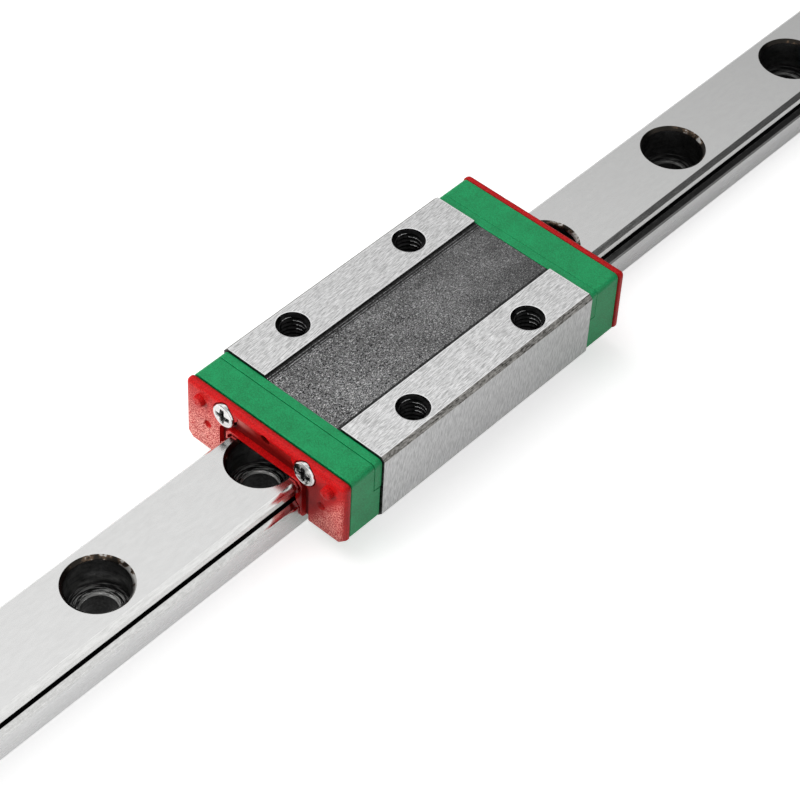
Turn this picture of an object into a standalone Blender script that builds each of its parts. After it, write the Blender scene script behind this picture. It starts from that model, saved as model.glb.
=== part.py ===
"""Miniature linear guide, size 9, with a long ball carriage: every piece as its own solid.

A hardened rail is bolted down through counterbored holes. The carriage runs on it on two rows of balls.
Each row is a closed circuit: the loaded run between rail and block, a turn in the end cap, the return
bore through the block's leg, and the turn at the other end.

Metres, +Z up. X runs along the rail, Y across it, and Z = 0 is the face that is bolted down. The origin
is under the middle of the rail. Left is +Y, the far end is +X and the near end is -X.
"""

import math

import bmesh
import bpy
from mathutils import Matrix

# Rail

RAIL_WIDTH = 0.0090
RAIL_HEIGHT = 0.0065
RAIL_TOP_CHAMFER = 0.00055
RAIL_FOOT_CHAMFER = 0.0006
RAIL_HOLE_PITCH = 0.0200
RAIL_HOLE_COUNT = 9
RAIL_END_DISTANCE = 0.0075
RAIL_LENGTH = (RAIL_HOLE_COUNT - 1) * RAIL_HOLE_PITCH + 2 * RAIL_END_DISTANCE
COUNTERBORE_DIAMETER = 0.0060
COUNTERBORE_DEPTH = 0.0035
COUNTERBORE_CHAMFER = 0.00033
RAIL_BOLT_HOLE = 0.0035

# Balls and raceways

BALL_DIAMETER = 0.0020
RACEWAY_CLEARANCE = 0.00006
RACEWAY_RADIUS = BALL_DIAMETER / 2 + RACEWAY_CLEARANCE
RACEWAY_DEPTH = 0.00062
RACEWAY_DROP = 0.00205
RACEWAY_HEIGHT = RAIL_HEIGHT - RACEWAY_DROP
RACEWAY_EDGE_BREAK = 0.0002
BALL_ROW_Y = RAIL_WIDTH / 2 - RACEWAY_DEPTH + RACEWAY_RADIUS
BALL_GAP = 0.00004
TRAIN_OVERLAP = 0.00002
WIRE_DIAMETER = 0.0003
WIRE_CLEARANCE = 0.00015
WIRE_BALL_GAP = 0.00005
WIRE_BEND_RADIUS = 0.00036
WIRE_Y = BALL_ROW_Y - BALL_DIAMETER / 2 - WIRE_BALL_GAP - WIRE_DIAMETER / 2
RELIEF_FLOOR_Y = WIRE_Y - WIRE_DIAMETER / 2 - WIRE_CLEARANCE
RELIEF_HALF_HEIGHT = WIRE_DIAMETER / 2 + WIRE_CLEARANCE
RELIEF_TAPER = 0.00005

# Carriage block

BLOCK_LENGTH = 0.0291
LEG_BELOW_RACEWAY = 0.00225
CARRIAGE_CLEARANCE = RACEWAY_HEIGHT - LEG_BELOW_RACEWAY
BLOCK_TOP_CHAMFER = 0.0005
BLOCK_FOOT_CHAMFER = 0.00045
CHANNEL_HALF_WIDTH = BALL_ROW_Y + RACEWAY_RADIUS - RACEWAY_DEPTH
CHANNEL_HEADROOM = 0.0006
CHANNEL_TOP = RAIL_HEIGHT + CHANNEL_HEADROOM
CHANNEL_CORNER = 0.0004
WEB_THICKNESS = 0.0029
ASSEMBLY_HEIGHT = CHANNEL_TOP + WEB_THICKNESS
RETURN_CLEARANCE = 0.00015
RETURN_RADIUS = BALL_DIAMETER / 2 + RETURN_CLEARANCE
TURN_RADIUS = 0.0016
TURN_Y = BALL_ROW_Y + TURN_RADIUS
RETURN_Y = TURN_Y + TURN_RADIUS
RETURN_WALL = 0.00071
BLOCK_WIDTH = 2 * (RETURN_Y + RETURN_RADIUS + RETURN_WALL)
LAND_WIDTH = 0.0053
LAND_HEIGHT = 0.0003
MOUNT_EDGE_DISTANCE = 0.0025
MOUNT_SPACING_ACROSS = BLOCK_WIDTH - 2 * MOUNT_EDGE_DISTANCE
MOUNT_SPACING_ALONG = 0.0160
MOUNT_THREAD = 0.0030
MOUNT_THREAD_DEPTH = 0.0030
MOUNT_RIM_CHAMFER = 0.0001
DRILL_POINT_SLOPE = math.radians(31)

# Plastic end pieces, stacked outwards from the block's end face

FACE_GAP = 0.0001
PLATE_THICKNESS = 0.00085
CAP_WALL = 0.0012
SEAL_THICKNESS = 0.00085
PLATE_INNER_X = BLOCK_LENGTH / 2 + FACE_GAP
PLATE_OUTER_X = PLATE_INNER_X + PLATE_THICKNESS
CAP_INNER_X = PLATE_OUTER_X + FACE_GAP
CAP_OUTER_X = PLATE_INNER_X + TURN_RADIUS + RETURN_RADIUS + CAP_WALL
SEAL_INNER_X = CAP_OUTER_X + FACE_GAP
SEAL_FACE_X = SEAL_INNER_X + SEAL_THICKNESS
END_SIDE_INSET = 0.0002
END_TOP_INSET = 0.00025
END_FOOT_INSET = 0.0002
END_WIDTH = BLOCK_WIDTH - 2 * END_SIDE_INSET
END_TOP = ASSEMBLY_HEIGHT - END_TOP_INSET
END_BOTTOM = CARRIAGE_CLEARANCE + END_FOOT_INSET
END_TOP_RADIUS = 0.0005
END_BOTTOM_CHAMFER = 0.0003
END_RAIL_CLEARANCE = 0.0003
GUIDE_CORE_HEIGHT = 0.0030
GUIDE_CORE_CLEARANCE = 0.0001
GREASE_HOLE = 0.0011
GREASE_HOLE_BELOW_TOP = 0.0010
GREASE_HOLE_HEIGHT = END_TOP - GREASE_HOLE_BELOW_TOP
GREASE_GROOVE_WIDTH = 0.0005
GREASE_GROOVE_DEPTH = 0.0004
GREASE_GROOVE_ABOVE_RAIL = 0.0008
GREASE_GROOVE_HEIGHT = RAIL_HEIGHT + GREASE_GROOVE_ABOVE_RAIL

# End screws, two at each end

SCREW_THREAD = 0.0014
SCREW_LENGTH = 0.0060
SCREW_HEAD_DIAMETER = 0.0025
SCREW_HEAD_HEIGHT = 0.00114
SCREW_HEAD_CROWN = 0.00018
SCREW_HEAD_FLAT = 0.00175
SCREW_HEAD_SHOULDER = 0.00233
SCREW_THREAD_CLEARANCE = 0.00005
SCREW_HOLE_CLEARANCE = 0.0002
SCREW_HEAD_CLEARANCE = 0.00012
SCREW_TIP_ROOM = 0.0005
SCREW_OUTSIDE_BALL_ROW = 0.0001
SCREW_POCKET_TOP_WALL = 0.00008
SCREW_Y = BALL_ROW_Y + SCREW_OUTSIDE_BALL_ROW
SCREW_HEIGHT = END_TOP - SCREW_POCKET_TOP_WALL - SCREW_HEAD_CLEARANCE - SCREW_HEAD_DIAMETER / 2
SCREW_SEAT_X = CAP_OUTER_X + FACE_GAP
CROSS_LENGTH = 0.0015
CROSS_ROOT_WIDTH = 0.0004
CROSS_TIP_WIDTH = 0.0003
CROSS_DEPTH = 0.0006

# End seal

SEAL_FOOT_OVERHANG = 0.0001
SEAL_BOTTOM = CARRIAGE_CLEARANCE - SEAL_FOOT_OVERHANG
SEAL_BOTTOM_CHAMFER = 0.0007
SEAL_RAIL_CLEARANCE = 0.0001
SEAL_EDGE_BEVEL = 0.0003
LIP_WIDTH = 0.0004
LIP_PROUD = 0.0003
MOAT_WIDTH = 0.0004
MOAT_DEPTH = 0.0003
MOAT_BELOW_TOP = 0.00085
MOAT_TOP = END_TOP - MOAT_BELOW_TOP
MOAT_SCREW_WALL = 0.00027
MOAT_MIDDLE_HALF_WIDTH = SCREW_Y - SCREW_HEAD_DIAMETER / 2 - SCREW_HEAD_CLEARANCE - MOAT_SCREW_WALL
STUD_DIAMETER = 0.0012
STUD_PROUD = 0.0005
STUD_FROM_SIDE = 0.0018
STUD_BELOW_TOP = 0.00155
DIMPLE_DIAMETER = 0.0009
DIMPLE_DEPTH = 0.00015
DIMPLE_FROM_SIDE = 0.00266
DIMPLE_BELOW_TOP = 0.00415

# Rest position and facets

CARRIAGE_REST_X = 0.0
RACEWAY_STEPS = 10
HOLE_STEPS = 28
SMALL_HOLE_STEPS = 16
FINE_HOLE_STEPS = 12
SHOULDER_STEPS = 3
CORE_STEPS = 8
TURN_STEPS = 20
SCREW_STEPS = 16
WIRE_BEND_STEPS = 3
TRAIN_STEPS = 4
SMOOTH_ANGLE = math.radians(35)
FLAT_ANGLE = math.radians(0.2)
CUTTER_OVERRUN = 0.0010
MERGE_DISTANCE = 0.000001

LEFT_AND_RIGHT = (("left", 1), ("right", -1))
NEAR_AND_FAR = (("near", math.pi), ("far", 0.0))


def clear_scene():
    for old in list(bpy.data.objects):
        bpy.data.objects.remove(old, do_unlink=True)


def new_collection(name):
    made = bpy.data.collections.new(name)
    bpy.context.scene.collection.children.link(made)
    return made


def make_material(name, colour, roughness, metallic):
    made = bpy.data.materials.new(name)
    made.use_nodes = True
    made.diffuse_color = (*colour, 1.0)
    shader = made.node_tree.nodes["Principled BSDF"]
    shader.inputs["Base Color"].default_value = (*colour, 1.0)
    shader.inputs["Roughness"].default_value = roughness
    shader.inputs["Metallic"].default_value = metallic
    return made


def add_part(name, mesh, material, parent=None):
    part = bpy.data.objects.new(name, mesh)
    PARTS.objects.link(part)
    if not mesh.materials:
        mesh.materials.append(material)
    part.parent = parent
    return part


def add_cutter(name, mesh):
    cutter = bpy.data.objects.new(name, mesh)
    CUTTERS.objects.link(cutter)
    cutter.hide_render = True
    cutter.display_type = "WIRE"
    return cutter


def combine(target, tool, operation="DIFFERENCE"):
    modifier = target.modifiers.new(tool.name, "BOOLEAN")
    modifier.operation = operation
    modifier.solver = "EXACT"
    modifier.object = tool


def evaluated_mesh(source):
    """The source's mesh as its modifiers leave it, for pieces that share one shape."""
    bpy.context.view_layer.update()
    graph = bpy.context.evaluated_depsgraph_get()
    return bpy.data.meshes.new_from_object(source.evaluated_get(graph))


def shade_round(mesh):
    mesh.shade_smooth()
    mesh.set_sharp_from_angle(angle=SMOOTH_ANGLE)


def mesh_from_curve(name, curve, matrix=Matrix.Identity(4)):
    """A curve's surface with its loose caps welded on and each flat cap made one face."""
    drawn = bpy.data.objects.new(name, curve)
    bpy.context.scene.collection.objects.link(drawn)
    mesh = evaluated_mesh(drawn)
    bpy.data.objects.remove(drawn, do_unlink=True)
    mesh.name = name
    mesh.transform(matrix)
    work = bmesh.new()
    work.from_mesh(mesh)
    bmesh.ops.remove_doubles(work, verts=work.verts, dist=MERGE_DISTANCE)
    bmesh.ops.dissolve_limit(work, angle_limit=FLAT_ANGLE, verts=work.verts, edges=work.edges)
    bmesh.ops.recalc_face_normals(work, faces=work.faces)
    work.to_mesh(mesh)
    work.free()
    return mesh


def filled_outline(name, outline, thickness):
    """A closed flat outline, filled and given half its thickness to each side."""
    curve = bpy.data.curves.new(name, "CURVE")
    curve.dimensions = "2D"
    curve.fill_mode = "BOTH"
    curve.extrude = thickness / 2
    spline = curve.splines.new("POLY")
    spline.points.add(len(outline) - 1)
    for point, (across, up) in zip(spline.points, outline):
        point.co = (across, up, 0.0, 1.0)
    spline.use_cyclic_u = True
    return curve


def prism_along_x(name, outline, start, end):
    """An outline of (y, z) points carried along X from start to end."""
    to_section = Matrix(((0, 0, 1, (start + end) / 2), (1, 0, 0, 0), (0, 1, 0, 0), (0, 0, 0, 1)))
    return mesh_from_curve(name, filled_outline(name, outline, end - start), to_section)


def prism_along_z(name, outline, bottom, top):
    """An outline of (x, y) points carried up Z from bottom to top."""
    lift = Matrix.Translation((0, 0, (bottom + top) / 2))
    return mesh_from_curve(name, filled_outline(name, outline, top - bottom), lift)


def turned_cutter(name, profile, steps):
    """A profile of (radius, z) points, from its top down its outer side, turned about Z."""
    mesh = bpy.data.meshes.new(name)
    points = [(radius, 0.0, z) for radius, z in profile]
    mesh.from_pydata(points, [(i, i + 1) for i in range(len(points) - 1)], [])
    cutter = add_cutter(name, mesh)
    turn_profile(cutter, steps)
    return cutter


def turn_profile(target, steps):
    screw = target.modifiers.new("turn", "SCREW")
    screw.axis = "Z"
    screw.steps = steps
    screw.render_steps = steps
    screw.use_merge_vertices = True
    screw.merge_threshold = MERGE_DISTANCE


def round_bar_cutter(name, diameter, start, end, steps=SMALL_HOLE_STEPS):
    """A cylinder between two points of which only one coordinate differs."""
    work = bmesh.new()
    length = max(abs(b - a) for a, b in zip(start, end))
    bmesh.ops.create_cone(
        work, cap_ends=True, segments=steps, radius1=diameter / 2, radius2=diameter / 2, depth=length
    )
    turns = {0: Matrix.Rotation(math.pi / 2, 4, "Y"), 1: Matrix.Rotation(math.pi / 2, 4, "X")}
    along = max(range(3), key=lambda axis: abs(end[axis] - start[axis]))
    middle = [(a + b) / 2 for a, b in zip(start, end)]
    work.transform(Matrix.Translation(middle) @ turns.get(along, Matrix.Identity(4)))
    mesh = bpy.data.meshes.new(name)
    work.to_mesh(mesh)
    work.free()
    return add_cutter(name, mesh)


def mirrored(right_half):
    """A closed outline from its +Y half, given from one end of the symmetry line to the other."""
    return right_half + [(-y, z) for y, z in reversed(right_half)]


def raceway(wall_y, side, radius=RACEWAY_RADIUS, relief=False):
    """One raceway's outline in a wall, from its lower edge up.

    It is an arc about the ball row, which bulges away from the rail's middle for side 1 and towards it
    for side -1. Its first and last steps are straight breaks of the edge. A relief is the groove along
    its middle in which the retainer wire lies, a little narrower at its floor.
    """
    half_angle = math.acos(abs(wall_y - BALL_ROW_Y) / radius)
    edge = radius * math.sin(half_angle) + RACEWAY_EDGE_BREAK
    points = [(wall_y, RACEWAY_HEIGHT - edge)]
    for step in range(1, RACEWAY_STEPS):
        angle = half_angle * (2 * step / RACEWAY_STEPS - 1)
        rise = radius * math.sin(angle)
        if relief and abs(rise) < RELIEF_HALF_HEIGHT:
            continue
        points.append((BALL_ROW_Y + side * radius * math.cos(angle), RACEWAY_HEIGHT + rise))
    points.append((wall_y, RACEWAY_HEIGHT + edge))
    if relief:
        middle = len(points) // 2
        mouth = BALL_ROW_Y + side * math.sqrt(radius**2 - RELIEF_HALF_HEIGHT**2)
        floor_half = RELIEF_HALF_HEIGHT - RELIEF_TAPER
        points[middle:middle] = [
            (mouth, RACEWAY_HEIGHT - RELIEF_HALF_HEIGHT),
            (RELIEF_FLOOR_Y, RACEWAY_HEIGHT - floor_half),
            (RELIEF_FLOOR_Y, RACEWAY_HEIGHT + floor_half),
            (mouth, RACEWAY_HEIGHT + RELIEF_HALF_HEIGHT),
        ]
    return points


def rail_opening(clearance, bottom):
    """The outline of the way for the rail through an end piece, with a tongue in each raceway."""
    wall = RAIL_WIDTH / 2 + clearance
    top = RAIL_HEIGHT + clearance
    half = [(wall, bottom)]
    half += raceway(wall, -1, RACEWAY_RADIUS - clearance)
    half += [(wall, top - RAIL_TOP_CHAMFER), (wall - RAIL_TOP_CHAMFER, top)]
    return mirrored(half)


def make_rail():
    half_width = RAIL_WIDTH / 2
    half = [(half_width - RAIL_FOOT_CHAMFER, 0.0), (half_width, RAIL_FOOT_CHAMFER)]
    half += raceway(half_width, -1, relief=True)
    half += [(half_width, RAIL_HEIGHT - RAIL_TOP_CHAMFER), (half_width - RAIL_TOP_CHAMFER, RAIL_HEIGHT)]
    mesh = prism_along_x("rail", mirrored(half), -RAIL_LENGTH / 2, RAIL_LENGTH / 2)
    rail = add_part("rail", mesh, STEEL)
    counterbore = COUNTERBORE_DIAMETER / 2
    profile = [
        (0.0, RAIL_HEIGHT + CUTTER_OVERRUN),
        (counterbore + COUNTERBORE_CHAMFER + CUTTER_OVERRUN, RAIL_HEIGHT + CUTTER_OVERRUN),
        (counterbore, RAIL_HEIGHT - COUNTERBORE_CHAMFER),
        (counterbore, RAIL_HEIGHT - COUNTERBORE_DEPTH),
        (RAIL_BOLT_HOLE / 2, RAIL_HEIGHT - COUNTERBORE_DEPTH),
        (RAIL_BOLT_HOLE / 2, -CUTTER_OVERRUN),
        (0.0, -CUTTER_OVERRUN),
    ]
    for number in range(RAIL_HOLE_COUNT):
        cutter = turned_cutter(f"rail_hole_{number + 1}", profile, HOLE_STEPS)
        cutter.location.x = (number - (RAIL_HOLE_COUNT - 1) / 2) * RAIL_HOLE_PITCH
        combine(rail, cutter)
    return rail


def block_section():
    """The block's inverted U, from the channel's ceiling round the leg to the edge of the top land."""
    half_width = BLOCK_WIDTH / 2
    land_inner_edge = half_width - LAND_WIDTH
    half = [
        (CHANNEL_HALF_WIDTH - CHANNEL_CORNER, CHANNEL_TOP),
        (CHANNEL_HALF_WIDTH, CHANNEL_TOP - CHANNEL_CORNER),
    ]
    half += reversed(raceway(CHANNEL_HALF_WIDTH, 1))
    half += [
        (CHANNEL_HALF_WIDTH, CARRIAGE_CLEARANCE + BLOCK_FOOT_CHAMFER),
        (CHANNEL_HALF_WIDTH + BLOCK_FOOT_CHAMFER, CARRIAGE_CLEARANCE),
        (half_width - BLOCK_FOOT_CHAMFER, CARRIAGE_CLEARANCE),
        (half_width, CARRIAGE_CLEARANCE + BLOCK_FOOT_CHAMFER),
        (half_width, ASSEMBLY_HEIGHT - BLOCK_TOP_CHAMFER),
        (half_width - BLOCK_TOP_CHAMFER, ASSEMBLY_HEIGHT),
        (land_inner_edge, ASSEMBLY_HEIGHT),
        (land_inner_edge, ASSEMBLY_HEIGHT - LAND_HEIGHT),
    ]
    return mirrored(half)


def cut_mounting_threads(block):
    radius = MOUNT_THREAD / 2
    floor = ASSEMBLY_HEIGHT - MOUNT_THREAD_DEPTH
    drill_point = radius * math.tan(DRILL_POINT_SLOPE)
    profile = [
        (0.0, ASSEMBLY_HEIGHT + CUTTER_OVERRUN),
        (radius + MOUNT_RIM_CHAMFER + CUTTER_OVERRUN, ASSEMBLY_HEIGHT + CUTTER_OVERRUN),
        (radius, ASSEMBLY_HEIGHT - MOUNT_RIM_CHAMFER),
        (radius, floor),
        (0.0, floor - drill_point),
    ]
    for along in (-1, 1):
        for side_name, side in LEFT_AND_RIGHT:
            end_name = "far" if along > 0 else "near"
            cutter = turned_cutter(f"mount_hole_{end_name}_{side_name}", profile, HOLE_STEPS)
            cutter.location.x = along * MOUNT_SPACING_ALONG / 2
            cutter.location.y = side * MOUNT_SPACING_ACROSS / 2
            combine(block, cutter)


def make_block(carriage):
    end = BLOCK_LENGTH / 2
    mesh = prism_along_x("carriage_block", block_section(), -end, end)
    block = add_part("carriage_block", mesh, STEEL, carriage)
    cut_mounting_threads(block)
    over = end + CUTTER_OVERRUN
    screw_hole = SCREW_THREAD + 2 * SCREW_THREAD_CLEARANCE
    hole_floor = SCREW_SEAT_X - SCREW_LENGTH - SCREW_TIP_ROOM
    for side_name, side in LEFT_AND_RIGHT:
        start = (-over, side * RETURN_Y, RACEWAY_HEIGHT)
        stop = (over, side * RETURN_Y, RACEWAY_HEIGHT)
        combine(block, round_bar_cutter(f"return_bore_{side_name}", 2 * RETURN_RADIUS, start, stop))
        for end_name, along in (("near", -1), ("far", 1)):
            start = (along * hole_floor, side * SCREW_Y, SCREW_HEIGHT)
            stop = (along * over, side * SCREW_Y, SCREW_HEIGHT)
            combine(block, round_bar_cutter(f"thread_{end_name}_{side_name}", screw_hole, start, stop))
    return block


def end_outline(bottom, bottom_chamfer):
    """The outline that the end pieces share: square at the foot, with rounded shoulders."""
    half_width = END_WIDTH / 2
    half = [(half_width - bottom_chamfer, bottom), (half_width, bottom + bottom_chamfer)]
    for step in range(SHOULDER_STEPS + 1):
        angle = math.pi / 2 * step / SHOULDER_STEPS
        across = half_width - END_TOP_RADIUS * (1 - math.cos(angle))
        half.append((across, END_TOP - END_TOP_RADIUS * (1 - math.sin(angle))))
    return mirrored(half)


def guide_core(name, side, clearance):
    """The half-round post of one turn, seen from above, with its flat side inside the return plate."""
    radius = TURN_RADIUS + clearance
    seat_x = PLATE_INNER_X + PLATE_THICKNESS / 3
    start = math.acos((seat_x - PLATE_INNER_X) / radius)
    outline = []
    for step in range(CORE_STEPS + 1):
        angle = start * (2 * step / CORE_STEPS - 1)
        along = PLATE_INNER_X + radius * math.cos(angle)
        outline.append((along, side * TURN_Y + radius * math.sin(angle)))
    half_height = GUIDE_CORE_HEIGHT / 2 + clearance
    return prism_along_z(name, outline, RACEWAY_HEIGHT - half_height, RACEWAY_HEIGHT + half_height)


def turn_cutter(side_name, side):
    """The channel that turns the balls from the loaded row into the return bore."""
    bpy.ops.mesh.primitive_torus_add(
        location=(PLATE_INNER_X, side * TURN_Y, RACEWAY_HEIGHT),
        major_radius=TURN_RADIUS,
        minor_radius=RETURN_RADIUS,
        major_segments=TURN_STEPS,
        minor_segments=FINE_HOLE_STEPS,
    )
    ring = bpy.context.object
    mesh = ring.data
    mesh.transform(ring.matrix_world)
    bpy.data.objects.remove(ring, do_unlink=True)
    return add_cutter(f"turn_{side_name}", mesh)


def grease_groove():
    """The groove in the cap's inner face that leads from the grease hole down to both turns."""
    half = GREASE_GROOVE_WIDTH / 2
    low = GREASE_GROOVE_HEIGHT
    core_top = RACEWAY_HEIGHT + GUIDE_CORE_HEIGHT / 2 - GREASE_GROOVE_WIDTH
    groove_half = [
        (half, GREASE_HOLE_HEIGHT),
        (half, low + half),
        (TURN_Y + half, low + half),
        (TURN_Y + half, core_top),
        (TURN_Y - half, core_top),
        (TURN_Y - half, low - half),
    ]
    start = CAP_INNER_X - CUTTER_OVERRUN
    stop = CAP_INNER_X + GREASE_GROOVE_DEPTH
    return add_cutter("grease_groove", prism_along_x("grease_groove", mirrored(groove_half), start, stop))


def end_cutters():
    """Cutters at the far end, keyed by what they cut. Each shape serves the near end too, turned round."""
    inner = BLOCK_LENGTH / 2 - CUTTER_OVERRUN
    outer = SEAL_FACE_X + CUTTER_OVERRUN
    made = {"turn": [], "core_seat": [], "shank": [], "head": [], "wire_hook": []}
    for side_name, side in LEFT_AND_RIGHT:
        made["turn"].append(turn_cutter(side_name, side))
        seat = guide_core(f"core_seat_{side_name}", side, GUIDE_CORE_CLEARANCE)
        made["core_seat"].append(add_cutter(f"core_seat_{side_name}", seat))
        for use, diameter, steps in (
            ("shank", SCREW_THREAD + SCREW_HOLE_CLEARANCE, SMALL_HOLE_STEPS),
            ("head", SCREW_HEAD_DIAMETER + 2 * SCREW_HEAD_CLEARANCE, HOLE_STEPS),
        ):
            start = (inner, side * SCREW_Y, SCREW_HEIGHT)
            stop = (outer, side * SCREW_Y, SCREW_HEIGHT)
            made[use].append(round_bar_cutter(f"{use}_{side_name}", diameter, start, stop, steps))
        diameter = WIRE_DIAMETER + 2 * WIRE_CLEARANCE
        start = (wire_hook_x(), side * (WIRE_Y - WIRE_DIAMETER), RACEWAY_HEIGHT)
        stop = (wire_hook_x(), side * (wire_hook_y() + WIRE_CLEARANCE), RACEWAY_HEIGHT)
        hook = round_bar_cutter(f"wire_hook_{side_name}", diameter, start, stop, FINE_HOLE_STEPS)
        made["wire_hook"].append(hook)
    start = (inner, 0.0, GREASE_HOLE_HEIGHT)
    stop = (outer, 0.0, GREASE_HOLE_HEIGHT)
    made["grease"] = [round_bar_cutter("grease_hole", GREASE_HOLE, start, stop)]
    opening = rail_opening(END_RAIL_CLEARANCE, END_BOTTOM - CUTTER_OVERRUN)
    made["opening"] = [add_cutter("cap_opening", prism_along_x("cap_opening", opening, inner, outer))]
    made["groove"] = [grease_groove()]
    return made


def cut_all(target, made, uses):
    for use in uses:
        for cutter in made[use]:
            combine(target, cutter)


def place_at_both_ends(name, finished, material, carriage):
    """The same moulding at each end of the block, the near one turned half round."""
    shade_round(finished)
    for end_name, turn in NEAR_AND_FAR:
        part = add_part(f"{name}_{end_name}", finished, material, carriage)
        part.rotation_euler.z = turn


def make_return_plates(made, carriage):
    """The plate against the block's end, moulded in one with the half-round core of each turn."""
    outline = end_outline(END_BOTTOM, END_BOTTOM_CHAMFER)
    shape = add_cutter("return_plate", prism_along_x("return_plate", outline, PLATE_INNER_X, PLATE_OUTER_X))
    for side_name, side in LEFT_AND_RIGHT:
        core = add_cutter(f"core_{side_name}", guide_core(f"core_{side_name}", side, 0.0))
        combine(shape, core, "UNION")
    cut_all(shape, made, ("turn", "opening", "shank"))
    place_at_both_ends("return_plate", evaluated_mesh(shape), GREEN_PLASTIC, carriage)


def make_end_caps(made, carriage):
    outline = end_outline(END_BOTTOM, END_BOTTOM_CHAMFER)
    shape = add_cutter("end_cap", prism_along_x("end_cap", outline, CAP_INNER_X, CAP_OUTER_X))
    cut_all(shape, made, ("turn", "core_seat", "opening", "shank", "wire_hook", "grease", "groove"))
    place_at_both_ends("end_cap", evaluated_mesh(shape), GREEN_PLASTIC, carriage)


def bevel_front(mesh, front_x, width):
    """Rounds the edges of a plate's front face."""
    work = bmesh.new()
    work.from_mesh(mesh)
    at_front = {vert for vert in work.verts if abs(vert.co.x - front_x) < MERGE_DISTANCE}
    front = [edge for edge in work.edges if at_front.issuperset(edge.verts)]
    bmesh.ops.bevel(work, geom=front, offset=width, segments=2, profile=0.5, affect="EDGES")
    work.to_mesh(mesh)
    work.free()


def lip_outline(grown, bottom):
    """The rail's way through the seal, grown by a wall all round and with no tongues."""
    wall = RAIL_WIDTH / 2 + SEAL_RAIL_CLEARANCE + grown
    top = RAIL_HEIGHT + SEAL_RAIL_CLEARANCE + grown
    return mirrored([(wall, bottom), (wall, top - RAIL_TOP_CHAMFER), (wall - RAIL_TOP_CHAMFER, top)])


def moat_outline(bottom):
    """The sunk border round the lip, which widens above the rail between the two screws."""
    wall = RAIL_WIDTH / 2 + SEAL_RAIL_CLEARANCE + LIP_WIDTH + MOAT_WIDTH
    shoulder = RAIL_HEIGHT
    middle = MOAT_MIDDLE_HALF_WIDTH
    half = [(wall, bottom), (wall, shoulder), (middle, shoulder + wall - middle), (middle, MOAT_TOP)]
    return mirrored(half)


def make_end_seals(made, carriage):
    outline = end_outline(SEAL_BOTTOM, SEAL_BOTTOM_CHAMFER)
    plate = prism_along_x("end_seal", outline, SEAL_INNER_X, SEAL_FACE_X)
    bevel_front(plate, SEAL_FACE_X, SEAL_EDGE_BEVEL)
    shape = add_cutter("end_seal", plate)
    below = SEAL_BOTTOM - CUTTER_OVERRUN
    inner = SEAL_INNER_X - CUTTER_OVERRUN
    outer = SEAL_FACE_X + CUTTER_OVERRUN
    moat = prism_along_x("moat", moat_outline(below), SEAL_FACE_X - MOAT_DEPTH, outer)
    combine(shape, add_cutter("moat", moat))
    root = SEAL_FACE_X - MOAT_DEPTH - SEAL_THICKNESS / 4
    lip = prism_along_x("lip", lip_outline(LIP_WIDTH, SEAL_BOTTOM), root, SEAL_FACE_X + LIP_PROUD)
    combine(shape, add_cutter("lip", lip), "UNION")
    opening = rail_opening(SEAL_RAIL_CLEARANCE, below)
    combine(shape, add_cutter("seal_opening", prism_along_x("seal_opening", opening, inner, outer)))
    for side_name, side in LEFT_AND_RIGHT:
        across = side * (END_WIDTH / 2 - STUD_FROM_SIDE)
        start = (SEAL_FACE_X - SEAL_THICKNESS / 2, across, END_TOP - STUD_BELOW_TOP)
        stop = (SEAL_FACE_X + STUD_PROUD, across, END_TOP - STUD_BELOW_TOP)
        combine(shape, round_bar_cutter(f"stud_{side_name}", STUD_DIAMETER, start, stop), "UNION")
        across = side * (END_WIDTH / 2 - DIMPLE_FROM_SIDE)
        start = (SEAL_FACE_X - DIMPLE_DEPTH, across, END_TOP - DIMPLE_BELOW_TOP)
        stop = (outer, across, END_TOP - DIMPLE_BELOW_TOP)
        combine(shape, round_bar_cutter(f"dimple_{side_name}", DIMPLE_DIAMETER, start, stop))
    cut_all(shape, made, ("head", "grease"))
    place_at_both_ends("end_seal", evaluated_mesh(shape), RED_RUBBER, carriage)


def screw_mesh():
    """A pan-head screw about X: its seat at x = 0, its head outwards and its shank inwards."""
    head = SCREW_HEAD_DIAMETER / 2
    shank = SCREW_THREAD / 2
    profile = [
        (0.0, SCREW_HEAD_HEIGHT),
        (SCREW_HEAD_FLAT / 2, SCREW_HEAD_HEIGHT),
        (SCREW_HEAD_SHOULDER / 2, SCREW_HEAD_HEIGHT - SCREW_HEAD_CROWN / 3),
        (head, SCREW_HEAD_HEIGHT - SCREW_HEAD_CROWN),
        (head, 0.0),
        (shank, 0.0),
        (shank, shank / 2 - SCREW_LENGTH),
        (shank / 2, -SCREW_LENGTH),
        (0.0, -SCREW_LENGTH),
    ]
    shape = turned_cutter("end_screw", profile, SCREW_STEPS)
    reach = CROSS_LENGTH / 2
    tip = CROSS_TIP_WIDTH / 2
    root = CROSS_ROOT_WIDTH / 2
    quarter = [(reach, -tip), (reach, tip), (root, root)]
    cross = []
    for turn in range(4):
        cosine = round(math.cos(turn * math.pi / 2))
        sine = round(math.sin(turn * math.pi / 2))
        cross += [(x * cosine - y * sine, x * sine + y * cosine) for x, y in quarter]
    floor = SCREW_HEAD_HEIGHT - CROSS_DEPTH
    recess = prism_along_z("cross_recess", cross, floor, SCREW_HEAD_HEIGHT + CUTTER_OVERRUN)
    combine(shape, add_cutter("cross_recess", recess))
    mesh = evaluated_mesh(shape)
    mesh.transform(Matrix.Rotation(math.pi / 2, 4, "Y"))
    shade_round(mesh)
    return mesh


def make_end_screws(carriage):
    mesh = screw_mesh()
    for end_name, turn in NEAR_AND_FAR:
        for side_name, side in LEFT_AND_RIGHT:
            screw = add_part(f"end_screw_{end_name}_{side_name}", mesh, BRIGHT_STEEL, carriage)
            screw.location = (math.cos(turn) * SCREW_SEAT_X, side * SCREW_Y, SCREW_HEIGHT)
            screw.rotation_euler.z = turn


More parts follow.
